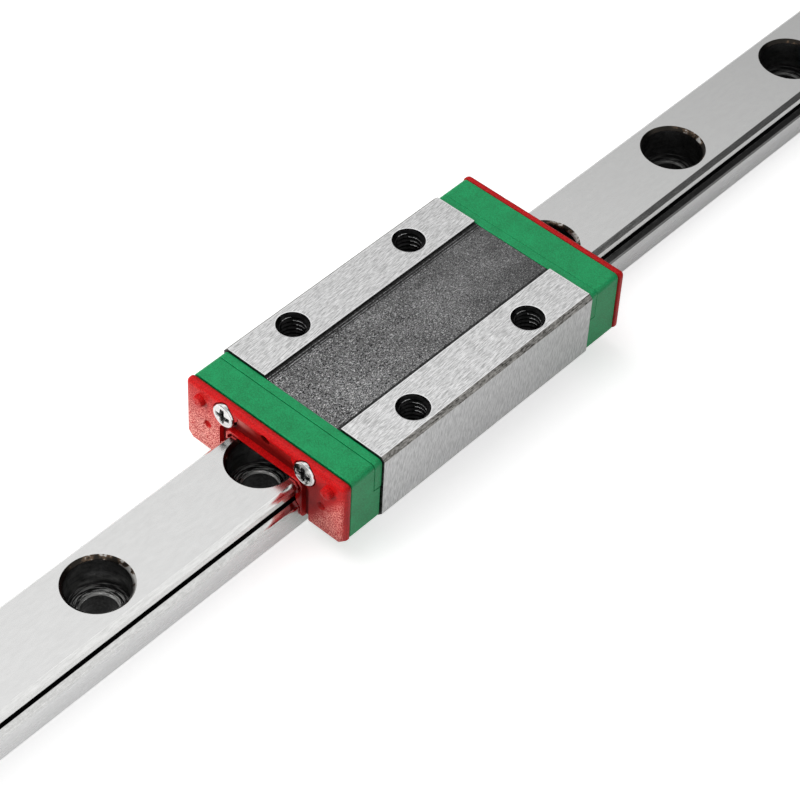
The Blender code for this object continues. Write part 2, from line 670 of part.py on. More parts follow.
def wire_hook_x():
    """Where the retainer wire turns into the cap: in the wall behind the balls' turn."""
    turn_reach = PLATE_INNER_X + TURN_RADIUS + RETURN_RADIUS
    return (turn_reach + CAP_OUTER_X) / 2


def wire_hook_y():
    return BALL_ROW_Y + BALL_DIAMETER / 2


def round_wire(name, points, radii=None, depth=WIRE_DIAMETER / 2):
    """A round bar through points of (x, y) at the raceways' height, thicker or thinner by its radii."""
    curve = bpy.data.curves.new(name, "CURVE")
    curve.dimensions = "3D"
    curve.bevel_depth = depth
    curve.bevel_resolution = 2
    curve.use_fill_caps = True
    spline = curve.splines.new("POLY")
    spline.points.add(len(points) - 1)
    for index, (x, y) in enumerate(points):
        spline.points[index].co = (x, y, RACEWAY_HEIGHT, 1.0)
        spline.points[index].radius = radii[index] if radii else 1.0
    return mesh_from_curve(name, curve)


def make_retainer_wires(carriage):
    """The spring wires that keep the balls in when the carriage is off its rail."""
    corner_x = wire_hook_x() - WIRE_BEND_RADIUS
    for side_name, side in LEFT_AND_RIGHT:
        far_half = [(0.0, WIRE_Y)]
        for step in range(WIRE_BEND_STEPS + 1):
            angle = math.pi / 2 * step / WIRE_BEND_STEPS
            along = corner_x + WIRE_BEND_RADIUS * math.sin(angle)
            far_half.append((along, WIRE_Y + WIRE_BEND_RADIUS * (1 - math.cos(angle))))
        far_half.append((wire_hook_x(), wire_hook_y()))
        near_half = [(-x, y) for x, y in reversed(far_half[1:])]
        points = [(x, side * y) for x, y in near_half + far_half]
        name = f"ball_retainer_wire_{side_name}"
        mesh = round_wire(name, points)
        shade_round(mesh)
        add_part(name, mesh, BRIGHT_STEEL, carriage)


def circuit_point(distance):
    """(x, y) of the left circuit's centreline at a distance from the middle of its loaded run."""
    run = PLATE_INNER_X
    turn = math.pi * TURN_RADIUS
    if distance <= run:
        return distance, BALL_ROW_Y
    if distance <= run + turn:
        angle = (distance - run) / TURN_RADIUS
        return run + TURN_RADIUS * math.sin(angle), TURN_Y - TURN_RADIUS * math.cos(angle)
    if distance <= 3 * run + turn:
        return run - (distance - run - turn), RETURN_Y
    angle = (distance - 3 * run - turn) / TURN_RADIUS
    return -run - TURN_RADIUS * math.sin(angle), TURN_Y + TURN_RADIUS * math.cos(angle)


def ball_train(first_distance, count, pitch):
    """Stations of a train of touching balls: (distance, radius as a share of the ball's) for each."""
    ball = BALL_DIAMETER / 2
    contact = math.asin(pitch / BALL_DIAMETER)
    stations = []
    for number in range(count):
        centre = first_distance + number * pitch
        for step in range(TRAIN_STEPS):
            angle = contact * (2 * step / TRAIN_STEPS - 1)
            stations.append((centre + ball * math.sin(angle), math.cos(angle)))
    stations.append((centre + ball * math.sin(contact), math.cos(contact)))
    return stations


def loaded_pitch():
    return BALL_DIAMETER + BALL_GAP


def loaded_count():
    """How many balls the block's length carries."""
    return int(BLOCK_LENGTH / loaded_pitch()) + 1


def make_loaded_balls(carriage):
    work = bmesh.new()
    bmesh.ops.create_icosphere(work, subdivisions=2, radius=BALL_DIAMETER / 2)
    ball = bpy.data.meshes.new("ball")
    work.to_mesh(ball)
    work.free()
    ball.shade_smooth()
    first_x = -(loaded_count() - 1) * loaded_pitch() / 2
    for side_name, side in LEFT_AND_RIGHT:
        for number in range(loaded_count()):
            part = add_part(f"loaded_ball_{side_name}_{number + 1:02d}", ball, BALL_STEEL, carriage)
            part.location = (first_x + number * loaded_pitch(), side * BALL_ROW_Y, RACEWAY_HEIGHT)


def make_return_trains(carriage):
    """The balls of each return run and its two turns, touching, as one train between the loaded ones."""
    circuit = 4 * PLATE_INNER_X + 2 * math.pi * TURN_RADIUS
    first = (loaded_count() + 1) * loaded_pitch() / 2
    pitch = BALL_DIAMETER - TRAIN_OVERLAP
    count = int((circuit - 2 * first) / pitch) + 1
    slack = circuit - 2 * first - (count - 1) * pitch
    stations = ball_train(first + slack / 2, count, pitch)
    for side_name, side in LEFT_AND_RIGHT:
        path = [circuit_point(distance) for distance, _ in stations]
        points = [(x, side * y) for x, y in path]
        name = f"return_ball_train_{side_name}"
        mesh = round_wire(name, points, [radius for _, radius in stations], BALL_DIAMETER / 2)
        shade_round(mesh)
        add_part(name, mesh, BALL_STEEL, carriage)


def make_carriage():
    carriage = bpy.data.objects.new("carriage_slide", None)
    carriage.location.x = CARRIAGE_REST_X
    PARTS.objects.link(carriage)
    made = end_cutters()
    make_block(carriage)
    make_return_plates(made, carriage)
    make_end_caps(made, carriage)
    make_end_seals(made, carriage)
    make_end_screws(carriage)
    make_retainer_wires(carriage)
    make_loaded_balls(carriage)
    make_return_trains(carriage)


clear_scene()
PARTS = new_collection("miniature_linear_guide")
CUTTERS = new_collection("cutters")
CUTTERS.hide_render = True
STEEL = make_material("ground_bearing_steel", (0.62, 0.62, 0.62), 0.35, 1.0)
BALL_STEEL = make_material("polished_ball_steel", (0.78, 0.78, 0.80), 0.12, 1.0)
BRIGHT_STEEL = make_material("plated_screw_steel", (0.80, 0.80, 0.78), 0.20, 1.0)
GREEN_PLASTIC = make_material("green_moulded_plastic", (0.03, 0.36, 0.13), 0.50, 0.0)
RED_RUBBER = make_material("red_moulded_seal", (0.66, 0.02, 0.02), 0.45, 0.0)
make_rail()
make_carriage()
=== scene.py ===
"""Looks of a miniature linear guide rail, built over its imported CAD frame.

Metres. X runs along the rail, Y across it, Z = 0 is the rail's base. Near is -X, left is +Y.
"""

import math

import bmesh
import bpy
import numpy as np
from mathutils import Matrix, Vector
from mathutils.geometry import delaunay_2d_cdt, tessellate_polygon


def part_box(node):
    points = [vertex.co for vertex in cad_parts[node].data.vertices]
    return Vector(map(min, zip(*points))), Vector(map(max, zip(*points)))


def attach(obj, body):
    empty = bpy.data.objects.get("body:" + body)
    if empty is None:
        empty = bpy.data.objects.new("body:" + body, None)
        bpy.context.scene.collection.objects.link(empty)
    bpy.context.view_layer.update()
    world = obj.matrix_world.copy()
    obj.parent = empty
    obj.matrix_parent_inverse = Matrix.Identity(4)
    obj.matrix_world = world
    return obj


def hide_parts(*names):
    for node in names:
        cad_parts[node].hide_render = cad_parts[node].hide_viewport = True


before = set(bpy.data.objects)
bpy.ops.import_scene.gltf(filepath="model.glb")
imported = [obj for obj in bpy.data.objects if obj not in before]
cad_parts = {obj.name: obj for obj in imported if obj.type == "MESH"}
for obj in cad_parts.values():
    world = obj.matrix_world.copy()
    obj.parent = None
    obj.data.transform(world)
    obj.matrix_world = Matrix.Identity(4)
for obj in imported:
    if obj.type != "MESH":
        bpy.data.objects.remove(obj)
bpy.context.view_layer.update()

# Floor, light and camera.
# The guide stands on a white photographer's table under large soft boxes. The floor shows white to the
# camera and to the polished steel, and keeps the soft shadow under the guide.

TABLE_HALF = 4.0
TABLE_GLOW = 0.60
GUIDE_MIDDLE = (0.0, 0.0, 0.005)
SKY_TONES = ((0.0, 0.30), (0.35, 0.22), (0.50, 0.30), (0.60, 0.50), (0.667, 0.76), (0.755, 1.06), (0.85, 1.16),
             (0.94, 0.50))


def graph(name):
    """A new material's node tree, with its Principled shader in place."""
    made = bpy.data.materials.new(name)
    made.use_nodes = True
    return made.node_tree


def feed(tree, node, inputs):
    """Each input of a node is linked to another node's output or set to a value."""
    for key, value in inputs.items():
        if isinstance(value, bpy.types.NodeSocket):
            tree.links.new(value, node.inputs[key])
        else:
            node.inputs[key].default_value = value


def add(tree, kind, inputs=(), **settings):
    """A new node with its settings and its inputs."""
    made = tree.nodes.new("ShaderNode" + kind)
    for key, value in settings.items():
        setattr(made, key, value)
    feed(tree, made, dict(inputs))
    return made


def finished(tree, inputs):
    """The inputs of a material's Principled shader, linked or set."""
    feed(tree, tree.nodes["Principled BSDF"], inputs)


def reckoned(tree, operation, first, second=0.0):
    """One step of arithmetic on two numbers, each a value or an output."""
    return add(tree, "Math", {0: first, 1: second}, operation=operation).outputs[0]


def ranged(tree, value, start, end, low=0.0, high=1.0, kind="LINEAR"):
    """low at start and before it, high at end and past it, and a slope between."""
    ends = {"Value": value, "From Min": start, "From Max": end, "To Min": low, "To Max": high}
    return add(tree, "MapRange", ends, interpolation_type=kind).outputs[0]


def grey(tone):
    """The neutral colour of one tone."""
    return (tone, tone, tone)


def mixed(tree, share, first, second, blend="MIX"):
    """The first colour with a share of the second in it. Each is three tones or an output."""
    first, second = (side if isinstance(side, bpy.types.NodeSocket) else (*side, 1.0) for side in (first, second))
    inputs = {"Factor": share, "A": first, "B": second}
    return add(tree, "Mix", inputs, data_type="RGBA", blend_type=blend).outputs["Result"]


def toned(tree, value, tones):
    """The colour at a value on a ramp through (place, colour) steps, with an even change between them."""
    ramp = add(tree, "ValToRGB", {"Fac": value})
    steps = ramp.color_ramp.elements
    for place, _ in tones[1:-1]:
        steps.new(place)
    for step, (place, tone) in zip(steps, tones):
        step.position = place
        step.color = (*tone, 1.0)
    return ramp.outputs[0]


def split(tree, way):
    """A vector's parts along X, Y and Z."""
    return add(tree, "SeparateXYZ", {0: way}).outputs[:3]


def seen_directly(tree, in_steel=1.0):
    """1 for a ray that shows the background to the camera or through glass, in_steel for one in polished steel."""
    path = add(tree, "LightPath").outputs
    seen = reckoned(tree, "MAXIMUM", path["Is Camera Ray"], path["Is Transmission Ray"])
    return reckoned(tree, "MAXIMUM", seen, reckoned(tree, "MULTIPLY", path["Is Glossy Ray"], in_steel))


def white_table():
    """A level square that glows for the camera, and in the steel less and less towards the rail's far end."""
    tree = graph("white_table")
    along = split(tree, add(tree, "NewGeometry").outputs["Position"])[0]
    in_steel = ranged(tree, along, -0.05, 0.03, 0.62, 0.12)
    glow = reckoned(tree, "MULTIPLY", seen_directly(tree, in_steel), TABLE_GLOW)
    finished(tree, {"Base Color": (0.80, 0.80, 0.80, 1.0), "Roughness": 0.9, "Specular IOR Level": 0.1,
                    "Emission Color": (1.0, 1.0, 1.0, 1.0), "Emission Strength": glow})
    mesh = bpy.data.meshes.new("table")
    corners = [(x * TABLE_HALF, y * TABLE_HALF, 0.0) for x, y in ((-1, -1), (1, -1), (1, 1), (-1, 1))]
    mesh.from_pydata(corners, [], [(0, 1, 2, 3)])
    mesh.materials.append(bpy.data.materials["white_table"])
    table = bpy.data.objects.new("table", mesh)
    bpy.context.scene.collection.objects.link(table)


def studio_air():
    """Light from all round. Polished steel sees a sky that grows pale with height, a light wall on the left (+Y)
    and a room on the right (-Y), light towards the camera and dark past it, as x goes from 0.48 to 0.60."""
    world = bpy.data.worlds.new("studio")
    world.use_nodes = True
    bpy.context.scene.world = world
    tree = world.node_tree
    east, north, up = split(tree, add(tree, "TexCoord").outputs["Generated"])

    def eased(value, start, end, low, high):
        """As ranged, with soft ends."""
        return ranged(tree, value, start, end, low, high, "SMOOTHSTEP")

    room = eased(east, 0.48, 0.60, 0.98, 0.07)
    to_right = eased(north, -0.35, -0.05, 1.0, 0.0)
    below_sky = eased(up, 0.60, 0.80, 1.0, 0.0)
    to_left = eased(north, 0.66, 0.84, 0.0, 0.8)
    overhead = toned(tree, up, [(place, grey(tone)) for place, tone in SKY_TONES])
    sky = mixed(tree, 1.0, overhead, to_left, "LIGHTEN")
    lit = mixed(tree, reckoned(tree, "MULTIPLY", to_right, below_sky), sky, room)
    shown = mixed(tree, add(tree, "LightPath").outputs["Is Camera Ray"], lit, grey(1.0))
    level = ranged(tree, seen_directly(tree), 0.0, 1.0, 0.48, 1.0)
    feed(tree, tree.nodes["Background"], {"Color": shown, "Strength": level})


def soft_box(name, place, size, watts):
    """A rectangular light turned to the guide's middle. The steel doesn't mirror it, but the studio's air."""
    light = bpy.data.lights.new(name, "AREA")
    light.shape = "RECTANGLE"
    light.size, light.size_y = size
    light.energy = watts
    box = bpy.data.objects.new(name, light)
    bpy.context.scene.collection.objects.link(box)
    box.location = place
    box.rotation_euler = (Vector(place) - Vector(GUIDE_MIDDLE)).to_track_quat("Z", "Y").to_euler()
    box.visible_glossy = False


def photo_camera():
    """The photograph's view: 46 degrees down, over the near right corner."""
    camera = bpy.data.cameras.new("camera")
    camera.sensor_width = 36.0
    camera.lens = 121.66
    camera.clip_start = 0.01
    camera.clip_end = 20.0
    right = (0.67176, -0.739677, 0.040209)
    up = (0.518541, 0.508306, 0.687561)
    back = (-0.529012, -0.441026, 0.725012)
    turn = Matrix((right, up, back)).transposed().to_4x4()
    holder = bpy.data.objects.new("camera", camera)
    bpy.context.scene.collection.objects.link(holder)
    holder.matrix_world = Matrix.Translation((-0.137343, -0.113744, 0.186996)) @ turn
    bpy.context.scene.camera = holder


white_table()
studio_air()
soft_box("overhead_box", (-0.10, 0.22, 0.62), (0.6, 0.4), 1.8)
soft_box("front_box", (-0.40, 0.22, 0.15), (0.25, 0.2), 1.3)
photo_camera()
bpy.context.scene.view_settings.view_transform = "Standard"

# Rail.
# A bar of bearing steel, hardened and ground on its top and sides, with a raceway ground into each side.
# It is bolted down through nine counterbored holes, which keep the dark scale of hardening; the black low in each bolt
# hole and in the relief grooves is painted shade.

rail_low, rail_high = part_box("rail")
RAIL_HALF, RAIL_TOP = 0.0045, 0.0065
RAIL_UPPER_HALF = 0.00442  # over the raceway the side stands back a little
RAIL_CHAMFER, RAIL_FOOT_CHAMFER = 0.00047, 0.0008
HOLE_PITCH = 0.02
HOLE_XS = np.linspace(-4.0, 4.0, 9) * HOLE_PITCH
HOLE_PROFILE = (  # radius and depth under the top: chamfer, counterbore, its floor, the bolt hole, the underside
    (0.00336, 0.0), (0.00331, 0.00003), (0.00302, 0.00031), (0.00300, 0.00036), (0.00300, 0.00342),
    (0.00292, 0.0035), (0.00192, 0.0035), (0.00175, 0.00367), (0.00175, RAIL_TOP - 0.00005), (0.00180, RAIL_TOP))
BALL_Y, BALL_Z = 0.00494, 0.00445
RACEWAY_RADIUS = 0.00106
EDGE_BREAK, UPPER_EDGE_BREAK = 0.0002, 0.00004
RELIEF_HALF, RELIEF_FLOOR = 0.0005, 0.00344
WELD = 2e-7


def smooth_step(value):
    """0 below 0, 1 above 1, and 3v^2 - 2v^3 between."""
    value = np.clip(value, 0.0, 1.0)
    return value * value * (3.0 - 2.0 * value)


def carried(loops, finish, closed=True):
    """The surface over a stack of loops with equal numbers of points: point (i, j) is loop i's point j, joined to
    its neighbours."""
    points = np.stack(loops)
    rows, columns = points.shape[:2]
    index = np.arange(rows * columns).reshape(rows, columns)
    across = np.roll(index, -1, axis=1) if closed else index[:, 1:]
    here = index if closed else index[:, :-1]
    faces = np.stack([here[:-1], here[1:], across[1:], across[:-1]], axis=-1).reshape(-1, 4)
    return points.reshape(-1, 3), faces.tolist(), finish


def flat_fill(loops, finish):
    """A flat face within the first loop and outside the others."""
    triangles = tessellate_polygon([loop.tolist() for loop in loops])
    return np.concatenate(loops), [list(corners) for corners in triangles], finish


def circle(centre, radius, angles, z):
    """Point i lies at angle a[i]: centre + radius * (cos a, sin a), level at z."""
    turned = np.column_stack([np.cos(angles), np.sin(angles)]) * np.reshape(radius, (-1, 1))
    return np.column_stack([turned + centre, np.broadcast_to(z, len(angles))])


def made_piece(name, surfaces, body, replaced, smooth=32.0, flat=(0, 1, 2)):
    """One object from (points, faces, finish) surfaces: seams welded, faces turned outwards, and those that face
    straight along one of the flat axes shaded flat. A finish is one name for a surface, or one for each face."""
    starts = np.cumsum([0] + [len(points) for points, _, _ in surfaces])
    points = np.concatenate([points for points, _, _ in surfaces])
    faces = [[corner + start for corner in face] for start, (_, own, _) in zip(starts, surfaces) for face in own]
    names = np.concatenate([np.broadcast_to(finish, len(own)) for _, own, finish in surfaces])
    finishes, numbers = np.unique(names, return_inverse=True)
    mesh = bpy.data.meshes.new(name)
    mesh.from_pydata(points.tolist(), [], faces)
    mesh.polygons.foreach_set("material_index", numbers.astype(np.int32))
    for finish in finishes:
        mesh.materials.append(bpy.data.materials[str(finish)])
    work = bmesh.new()
    work.from_mesh(mesh)
    bmesh.ops.remove_doubles(work, verts=work.verts, dist=WELD)
    bmesh.ops.dissolve_degenerate(work, edges=work.edges, dist=WELD)
    bmesh.ops.recalc_face_normals(work, faces=work.faces)
    work.to_mesh(mesh)
    work.free()
    mesh.shade_smooth()
    mesh.set_sharp_from_angle(angle=math.radians(smooth))
    normals = np.empty(len(mesh.polygons) * 3, dtype=np.float32)
    mesh.polygons.foreach_get("normal", normals)
    level = (np.abs(normals.reshape(-1, 3)[:, list(flat)]) > 0.99999).any(axis=1)
    mesh.polygons.foreach_set("use_smooth", ~level)
    piece = bpy.data.objects.new(name, mesh)
    bpy.context.scene.collection.objects.link(piece)
    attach(piece, body)
    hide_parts(*replaced)


def raceway_arc(wall_y, side, radius, steps=24, edge_break=EDGE_BREAK):
    """(y, z) up one raceway: an arc about the ball row between two broken edges, bulging outwards for side 1."""
    half = math.acos(abs(wall_y - BALL_Y) / radius)
    angles = np.linspace(-half, half, steps)[1:-1]
    arc = np.column_stack([BALL_Y + side * radius * np.cos(angles), BALL_Z + radius * np.sin(angles)])
    edge = radius * math.sin(half) + edge_break
    return np.concatenate([[(wall_y, BALL_Z - edge)], arc, [(wall_y, BALL_Z + edge)]])


def other_side(half):
    """The half outline mirrored to -Y, in the same order."""
    return half * (-1.0, 1.0)


def along_x(outline, xs):
    """An open (y, z) outline carried along X: point (i, j) is (x[i], y[j], z[j])."""
    return [np.column_stack([np.full(len(outline), x), outline]) for x in xs]

def bar(outline, xs, finish):
    """The surface of an open (y, z) outline carried along X."""
    return carried(along_x(outline, xs), finish, closed=False)


def plate_edge(xs, ys, z):
    """The edge of a level rectangle, anticlockwise from its low corner, with points at each x and each y."""
    low, high = ys[0], ys[-1]
    sides = [
        np.column_stack([xs[:-1], np.full(len(xs) - 1, low)]),
        np.column_stack([np.full(len(ys) - 1, xs[-1]), ys[:-1]]),
        np.column_stack([xs[:0:-1], np.full(len(xs) - 1, high)]),
        np.column_stack([np.full(len(ys) - 1, xs[0]), ys[:0:-1]]),
    ]
    flat = np.concatenate(sides)
    return np.column_stack([flat, np.full(len(flat), z)])


def fan_out(start, middle, end, distance, step=4.0):
    """Points from start to end on a line that passes a hole's middle at a distance, one every step degrees as the
    hole sees them."""
    first = math.degrees(math.atan2(start - middle, distance))
    last = math.degrees(math.atan2(end - middle, distance))
    angles = np.radians(np.linspace(first, last, max(3, int(round((last - first) / step)) + 1)))
    points = middle + distance * np.tan(angles)
    points[0], points[-1] = start, end
    return points


def noise(tree, place, scale, detail, roughness=0.5):
    """A cloudy noise over a place, with one scale for all ways or one for each."""
    if isinstance(scale, tuple):
        place, scale = add(tree, "Mapping", {"Vector": place, "Scale": scale}).outputs[0], 1.0
    inputs = {"Vector": place, "Scale": scale, "Detail": detail, "Roughness": roughness}
    return add(tree, "TexNoise", inputs).outputs[0]


def risen(tree, height, strength, distance):
    """The surface's direction where a height lifts it."""
    return add(tree, "Bump", {"Height": height, "Strength": strength, "Distance": distance}).outputs[0]


def object_place(tree):
    """A point's place in the shared frame."""
    return add(tree, "TexCoord").outputs["Object"]


def colour_so_far(tree):
    """The output that feeds the base colour."""
    return tree.nodes["Principled BSDF"].inputs["Base Color"].links[0].from_socket


def ground_steel(name, colour, worn, streak, grain, roughness, turn=(0.0, 0.0, 0.0), bump=0.3, spread=0.06,
                 soft=0.25):
    """Ground bearing steel: streaks, a noise drawn out along one way, plus a mottling. Their sum goes from worn to
    colour between 1 - soft and 1 + soft and lifts the surface, and the streaks move the roughness by spread."""
    tree = graph(name)
    place = object_place(tree)
    turned = add(tree, "Mapping", {"Vector": place, "Rotation": turn}).outputs[0]
    lines = noise(tree, turned, streak, 3.0, 0.65)
    both = reckoned(tree, "ADD", lines, noise(tree, place, grain, 4.0, 0.6))
    finished(tree, {
        "Base Color": mixed(tree, ranged(tree, both, 1.0 - soft, 1.0 + soft), worn, colour),
        "Roughness": ranged(tree, lines, 0.3, 0.7, roughness + spread, roughness - spread),
        "Normal": risen(tree, both, bump, 0.000004), "Metallic": 1.0})
    return tree


def dimmed_along(tree, start, end, least):
    """Painted shade: the base colour times a factor that goes from 1 at x = start to least at x = end."""
    share = ranged(tree, split(tree, object_place(tree))[0], start, end, 1.0, least)
    finished(tree, {"Base Color": mixed(tree, 1.0, colour_so_far(tree), share, "MULTIPLY")})


ground_steel("rail_ground_top", (0.725, 0.725, 0.72), (0.700, 0.700, 0.695), (700, 2500, 2500), (1500, 2200, 2200),
             0.20, bump=0.03, spread=0.02)
ground_steel("rail_polished_flank", (0.86, 0.86, 0.85), (0.74, 0.74, 0.73), (500, 5000, 5000), (1200, 4000, 4000),
             0.13, bump=0.08)
ground_steel("rail_drawn_side", grey(0.78), grey(0.69), (350, 7000, 7000), (4000, 4000, 4000), 0.30)
ground_steel("hardened_bore", grey(0.24), grey(0.09), (900, 900, 2500), (1500, 1500, 1500), 0.34)
# The lower raceway is darkened towards +X by painted shade.
lower_way = ground_steel("rail_lower_raceway", (0.75, 0.75, 0.74), (0.60, 0.60, 0.59), (1200, 5000, 5000),
                         (3500, 4000, 4000), 0.13, bump=0.1)
dimmed_along(lower_way, -0.015, 0.03, 0.27)
# Near black: painted shade in the relief groove along each raceway and low in each bolt hole.
ground_steel("relief_groove", grey(0.04), grey(0.015), (500, 5000, 5000), (4000, 4000, 4000), 0.4)


def from_hole(tree):
    """The level way to a point from the axis of its hole: (x + half a pitch, modulo a pitch) - half a pitch, y."""
    east, north, _ = split(tree, object_place(tree))
    shifted = reckoned(tree, "ADD", east, HOLE_PITCH / 2)
    within_pitch = reckoned(tree, "FLOORED_MODULO", shifted, HOLE_PITCH)
    return add(tree, "CombineXYZ", {0: reckoned(tree, "SUBTRACT", within_pitch, HOLE_PITCH / 2), 1: north}).outputs[0]


def scaled_steel():
    """The rim of a counterbore: black scale with brown edges, broken through to bright steel in places. More bright
    steel on its +X -Y side is a painted highlight, and less of it in the holes towards +X is painted shade."""
    tree = graph("scaled_chamfer")
    place = object_place(tree)
    patches = noise(tree, place, 650.0, 3.0, 0.6)
    painted_far_shade = ranged(tree, split(tree, place)[0], -0.02, 0.03, 0.0, -0.10)
    painted_highlight_way = {0: from_hole(tree), 1: (24.0, -27.0, 0.0)}
    side = add(tree, "VectorMath", painted_highlight_way, operation="DOT_PRODUCT").outputs["Value"]
    broken = reckoned(tree, "ADD", reckoned(tree, "ADD", patches, side), painted_far_shade)
    tones = ((0.0, grey(0.012)), (0.47, (0.03, 0.026, 0.022)), (0.53, (0.13, 0.09, 0.062)),
             (0.56, (0.50, 0.49, 0.47)), (1.0, (0.66, 0.66, 0.65)))
    finished(tree, {"Base Color": toned(tree, broken, tones), "Metallic": 1.0, "Roughness": 0.32})


def turned_floor():
    """The counterbore's floor, by distance r and angle a from the hole's axis: broken rings left by the cutter, a
    noise over (7000 r, 1.6 cos a, 1.6 sin a), fading outwards into painted shade by the wall, with a painted highlight
    round the bolt hole, and darkened towards +X by painted shade."""
    tree = graph("counterbore_floor")
    spot = from_hole(tree)
    distance = add(tree, "VectorMath", {0: spot}, operation="LENGTH").outputs["Value"]
    cosine, sine, _ = split(tree, add(tree, "VectorMath", {0: spot}, operation="NORMALIZE").outputs[0])
    polar = add(tree, "CombineXYZ", {
        axis: reckoned(tree, "MULTIPLY", part, times)
        for axis, part, times in ((0, distance, 7000.0), (1, cosine, 1.6), (2, sine, 1.6))}).outputs[0]
    rings = ranged(tree, noise(tree, polar, 1.0, 3.0, 0.6), 0.47, 0.60)
    rings_fading_to_painted_shade = reckoned(tree, "MULTIPLY", rings, ranged(tree, distance, 0.0021, 0.0030, 1.0, 0.1))
    rings_and_painted_highlight = reckoned(tree, "MAXIMUM", rings_fading_to_painted_shade, ranged(tree, distance, 0.00188, 0.00196, 0.4, 0.0))
    shade = mixed(tree, rings_and_painted_highlight, grey(0.012), (0.85, 0.85, 0.83))
    finished(tree, {"Base Color": shade, "Metallic": 0.8, "Roughness": 0.5})
    dimmed_along(tree, -0.01, 0.03, 0.2)


scaled_steel()
turned_floor()


def rail_surfaces():
    """The rail's cells, each a stack of loops down through one hole, and its two sides carried along X."""
    top_half = RAIL_UPPER_HALF - RAIL_CHAMFER
    foot_half = RAIL_HALF - RAIL_FOOT_CHAMFER
    cell_ends = np.concatenate([[rail_low.x], (HOLE_XS[1:] + HOLE_XS[:-1]) / 2, [rail_high.x]])
    top_ys = fan_out(-top_half, 0.0, top_half, HOLE_PITCH / 2)
    bottom_ys = top_ys * foot_half / top_half
    surfaces, all_xs = [], []
    for centre, start, end in zip(HOLE_XS, cell_ends[:-1], cell_ends[1:]):
        xs = fan_out(start, centre, end, top_half)
        all_xs.append(xs)
        top_edge = plate_edge(xs, top_ys, RAIL_TOP)
        angles = np.arctan2(top_edge[:, 1], top_edge[:, 0] - centre)
        hole = [circle((centre, 0.0), radius, angles, RAIL_TOP - depth) for radius, depth in HOLE_PROFILE]
        surfaces += [
            carried([top_edge] + hole[:1], "rail_ground_top"),
            carried(hole[:4], "scaled_chamfer"),
            carried(hole[3:5], "hardened_bore"),
            carried(hole[4:8], "counterbore_floor"),
            # painted shade low in the bolt hole
            carried(hole[7:9], "relief_groove"),
            carried(hole[8:] + [plate_edge(xs, bottom_ys, 0.0)], "rail_drawn_side"),
        ]
    xs = np.unique(np.round(np.concatenate(all_xs), 9))
    way = raceway_arc(RAIL_HALF, -1, RACEWAY_RADIUS)
    upper_way = raceway_arc(RAIL_UPPER_HALF, -1, RACEWAY_RADIUS, edge_break=UPPER_EDGE_BREAK)
    below, above = way[way[:, 1] < BALL_Z - RELIEF_HALF], upper_way[upper_way[:, 1] > BALL_Z + RELIEF_HALF]
    lower = np.array([(foot_half, 0.0), (RAIL_HALF, RAIL_FOOT_CHAMFER), way[0]])
    mouth = BALL_Y - math.sqrt(RACEWAY_RADIUS**2 - RELIEF_HALF**2)
    relief = np.array([(mouth, BALL_Z - RELIEF_HALF), (RELIEF_FLOOR, BALL_Z - RELIEF_HALF + 0.00005),
                       (RELIEF_FLOOR, BALL_Z + RELIEF_HALF - 0.00005), (mouth, BALL_Z + RELIEF_HALF)])
    drop = RAIL_TOP - RAIL_CHAMFER
    shoulder = np.array([(RAIL_UPPER_HALF, drop - 0.00004), (RAIL_UPPER_HALF - 0.00003, drop + 0.00002),
                         (top_half + 0.00004, RAIL_TOP - 0.00002), (top_half, RAIL_TOP)])
    # The relief band is near-black painted shade.
    bands = ((lower, "rail_drawn_side"), (np.concatenate([below, relief[:1]]), "rail_lower_raceway"),
             (relief, "relief_groove"), (np.concatenate([relief[-1:], above, shoulder]), "rail_polished_flank"))
    surfaces += [bar(band * (side, 1.0), xs, finish) for side in (1.0, -1.0) for band, finish in bands]
    flank = np.concatenate([lower[:-1], below, relief, above, shoulder])
    top = np.column_stack([top_ys[1:-1], np.full(len(top_ys) - 2, RAIL_TOP)])
    bottom = np.column_stack([bottom_ys[1:-1], np.zeros(len(bottom_ys) - 2)])
    section = np.concatenate([flank, top[::-1], other_side(flank)[::-1], bottom])
    return surfaces + [flat_fill(along_x(section, [x]), "rail_drawn_side") for x in (rail_low.x, rail_high.x)]


made_piece("ground_rail", rail_surfaces(), "rail", ["rail"], smooth=25.0, flat=[2])

# Carriage block.
# An inverted U of the same steel. Its two lands and its sides are ground, the recess between the lands is
# blasted and dull. Four tapped holes in the lands take what the carriage carries.

block_low, block_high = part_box("carriage_block")
BLOCK_END = block_high.x
BLOCK_HALF, BLOCK_TOP = 0.0100, 0.0100
BLOCK_FOOT = block_low.z
CHANNEL_HALF, CHANNEL_TOP = 0.00538, 0.0071
CHANNEL_CORNER = 0.0004
LAND_INNER = {1: 0.00481, -1: 0.00466}  # left and right
LAND_BREAK = 0.00003
RECESS_FLOOR, RECESS_LEDGE = 0.0097, 0.00973  # the ledge runs along the left land
TOP_CHAMFER, FOOT_CHAMFER = 0.00044, 0.00045
MOUNTS = ((-0.008, -0.0075), (0.008, -0.0075), (-0.008, 0.0075), (0.008, 0.0075))
HOLE_RIM = ((0.00173, 0.0), (0.00165, 0.00001), (0.00152, 0.00014))  # radius and depth
THREAD_START, THREAD_DEPTH = 0.00016, 0.0027
DRILL_POINT = ((0.0012, 0.0071), (0.0, 0.0064))  # radius and height
HIGHLIGHT_WAY = -0.31  # the angle from +X about which the thread's crests get a painted highlight
SCREW_Y, SCREW_Z = 0.00504, 0.0083
END_HOLES = (  # y, z, radius, and the x where a blind hole ends; the return bores run through
    (0.00814, BALL_Z, 0.00115, None), (SCREW_Y, SCREW_Z, 0.00075, 0.0122))
END_BREAK = 0.00004
# Width of the strips of painted highlight along the lands' edges.
HIGHLIGHT_STRIP = 0.00008

